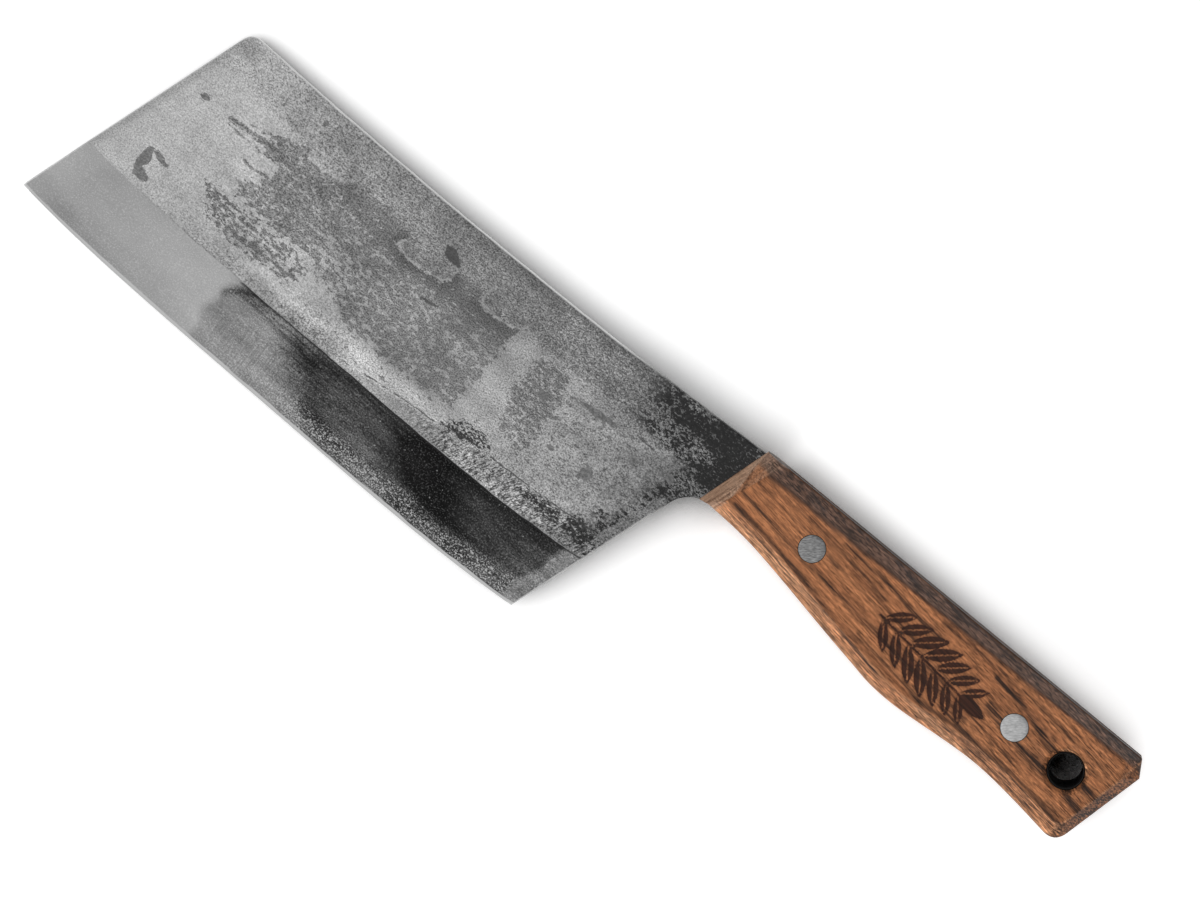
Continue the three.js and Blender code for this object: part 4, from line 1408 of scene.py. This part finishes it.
def picture_side(view, degrees):
    """The level direction that far from the picture's left towards its bottom."""
    turn = math.radians(degrees)
    side = view.matrix_world.to_3x3() @ Vector((-math.cos(turn), -math.sin(turn), 0))
    side.z = 0
    return side.normalized()


def leaning(side, degrees):
    lean = math.radians(degrees)
    return side * math.sin(lean) + Vector((0, 0, math.cos(lean)))


def floor(view):
    """A white floor that glows where it is open to the light, and not in the knife's shadow and hole."""
    mesh = bpy.data.meshes.new("floor")
    half = FLOOR_SIZE / 2
    corners = [(-half, -half, 0), (half, -half, 0), (half, half, 0), (-half, half, 0)]
    mesh.from_pydata(corners, [], [(0, 1, 2, 3)])
    g = Graph("floor_white")
    x, y, z = leaning(picture_side(view, 0), SHADOW_LEAN)
    lean = g.add("ShaderNodeCombineXYZ", {"X": x, "Y": y, "Z": z}).outputs[0]
    knife_at = PLACE.translation / MM
    place = g.add("ShaderNodeVectorMath", {0: g.where, 1: knife_at}, operation="SUBTRACT").outputs[0]
    along = g.add("ShaderNodeSeparateXYZ", {0: place}).outputs["X"]
    reach = g.blend(g.ramp(along, -6, 8), g.ramp(along, -60, -25, BLADE_REACH, NECK_REACH), GRIP_REACH)
    lit = g.add("ShaderNodeAmbientOcclusion", {"Distance": reach, "Normal": lean}, samples=8).outputs["AO"]
    openness = g.add("ShaderNodeAmbientOcclusion", {"Distance": HOLE_REACH}, samples=8).outputs["AO"]
    # Painted shade: the floor's own colour is drawn down to black where little around it is open, in the
    # hanging hole and close under the knife
    tone = g.ramp(openness, 0.28, 0.56, 0.0, FLOOR_WHITE)
    g.look(Base_Color=g.grey(tone), Roughness=0.9, Specular_IOR_Level=0.0)
    path = g.add("ShaderNodeLightPath", {})
    seen = g.math("MAXIMUM", path.outputs["Is Camera Ray"], path.outputs["Is Glossy Ray"])
    seen = g.math("MAXIMUM", seen, path.outputs["Is Transmission Ray"])
    open_side = g.ramp(lit, 0.45, 0.92) * g.ramp(openness, 0.25, 0.5)
    lift = seen * open_side * FLOOR_LIFT
    g.look(Emission_Color=(1, 1, 1, 1), Emission_Strength=lift)
    mesh.materials.append(g.material)
    made = new_object("floor", mesh)


def camera_place():
    """The camera's matrix in the knife's own frame."""
    forward = (AIM - EYE).normalized()
    along = Vector((1, 0, 0))
    along = (along - forward * along.dot(forward)).normalized()
    across = forward.cross(along)
    turn = math.radians(KNIFE_TURN)
    right = along * math.cos(turn) - across * math.sin(turn)
    up = right.cross(forward)
    place = Matrix((right, up, -forward)).transposed().to_4x4()
    place.translation = EYE * MM
    return place


def camera():
    data = bpy.data.cameras.new("camera")
    data.sensor_width = SENSOR
    data.lens = SENSOR * FOCAL_PIXELS / PICTURE_WIDTH
    made = new_object("camera", data)
    made.matrix_world = PLACE @ camera_place()
    bpy.context.scene.camera = made
    return made


def light(view):
    away = leaning(picture_side(view, SOFTBOX_TURN), SOFTBOX_LEAN)
    data = bpy.data.lights.new("softbox", "AREA")
    data.shape = "RECTANGLE"
    data.size, data.size_y = SOFTBOX
    data.energy = SOFTBOX_POWER
    made = new_object("softbox", data)
    made.location = away * SOFTBOX_DISTANCE
    made.rotation_euler = away.to_track_quat("Z", "Y").to_euler()
    made.visible_camera = False


def world():
    made = bpy.data.worlds.new("studio")
    bpy.context.scene.world = made
    made.use_nodes = True
    background = made.node_tree.nodes["Background"]
    background.inputs["Color"].default_value = (1, 1, 1, 1)
    background.inputs["Strength"].default_value = WORLD_LIGHT


blade(steel())
grip("upper_grip", "upper_scale", 1, True, wood())
grip("lower_grip", "lower_scale", -1, False, bpy.data.materials["oiled_walnut"])
rivet("front_rivet", FRONT_RIVET, rivet_metal("dull_rivet", 0.172, 0.45))
rivet("rear_rivet", REAR_RIVET, rivet_metal("bright_rivet", 0.335, 0.22))
liner(liner_black())
view = camera()
floor(view)
light(view)
world()
bpy.context.scene.view_settings.view_transform = "Standard"
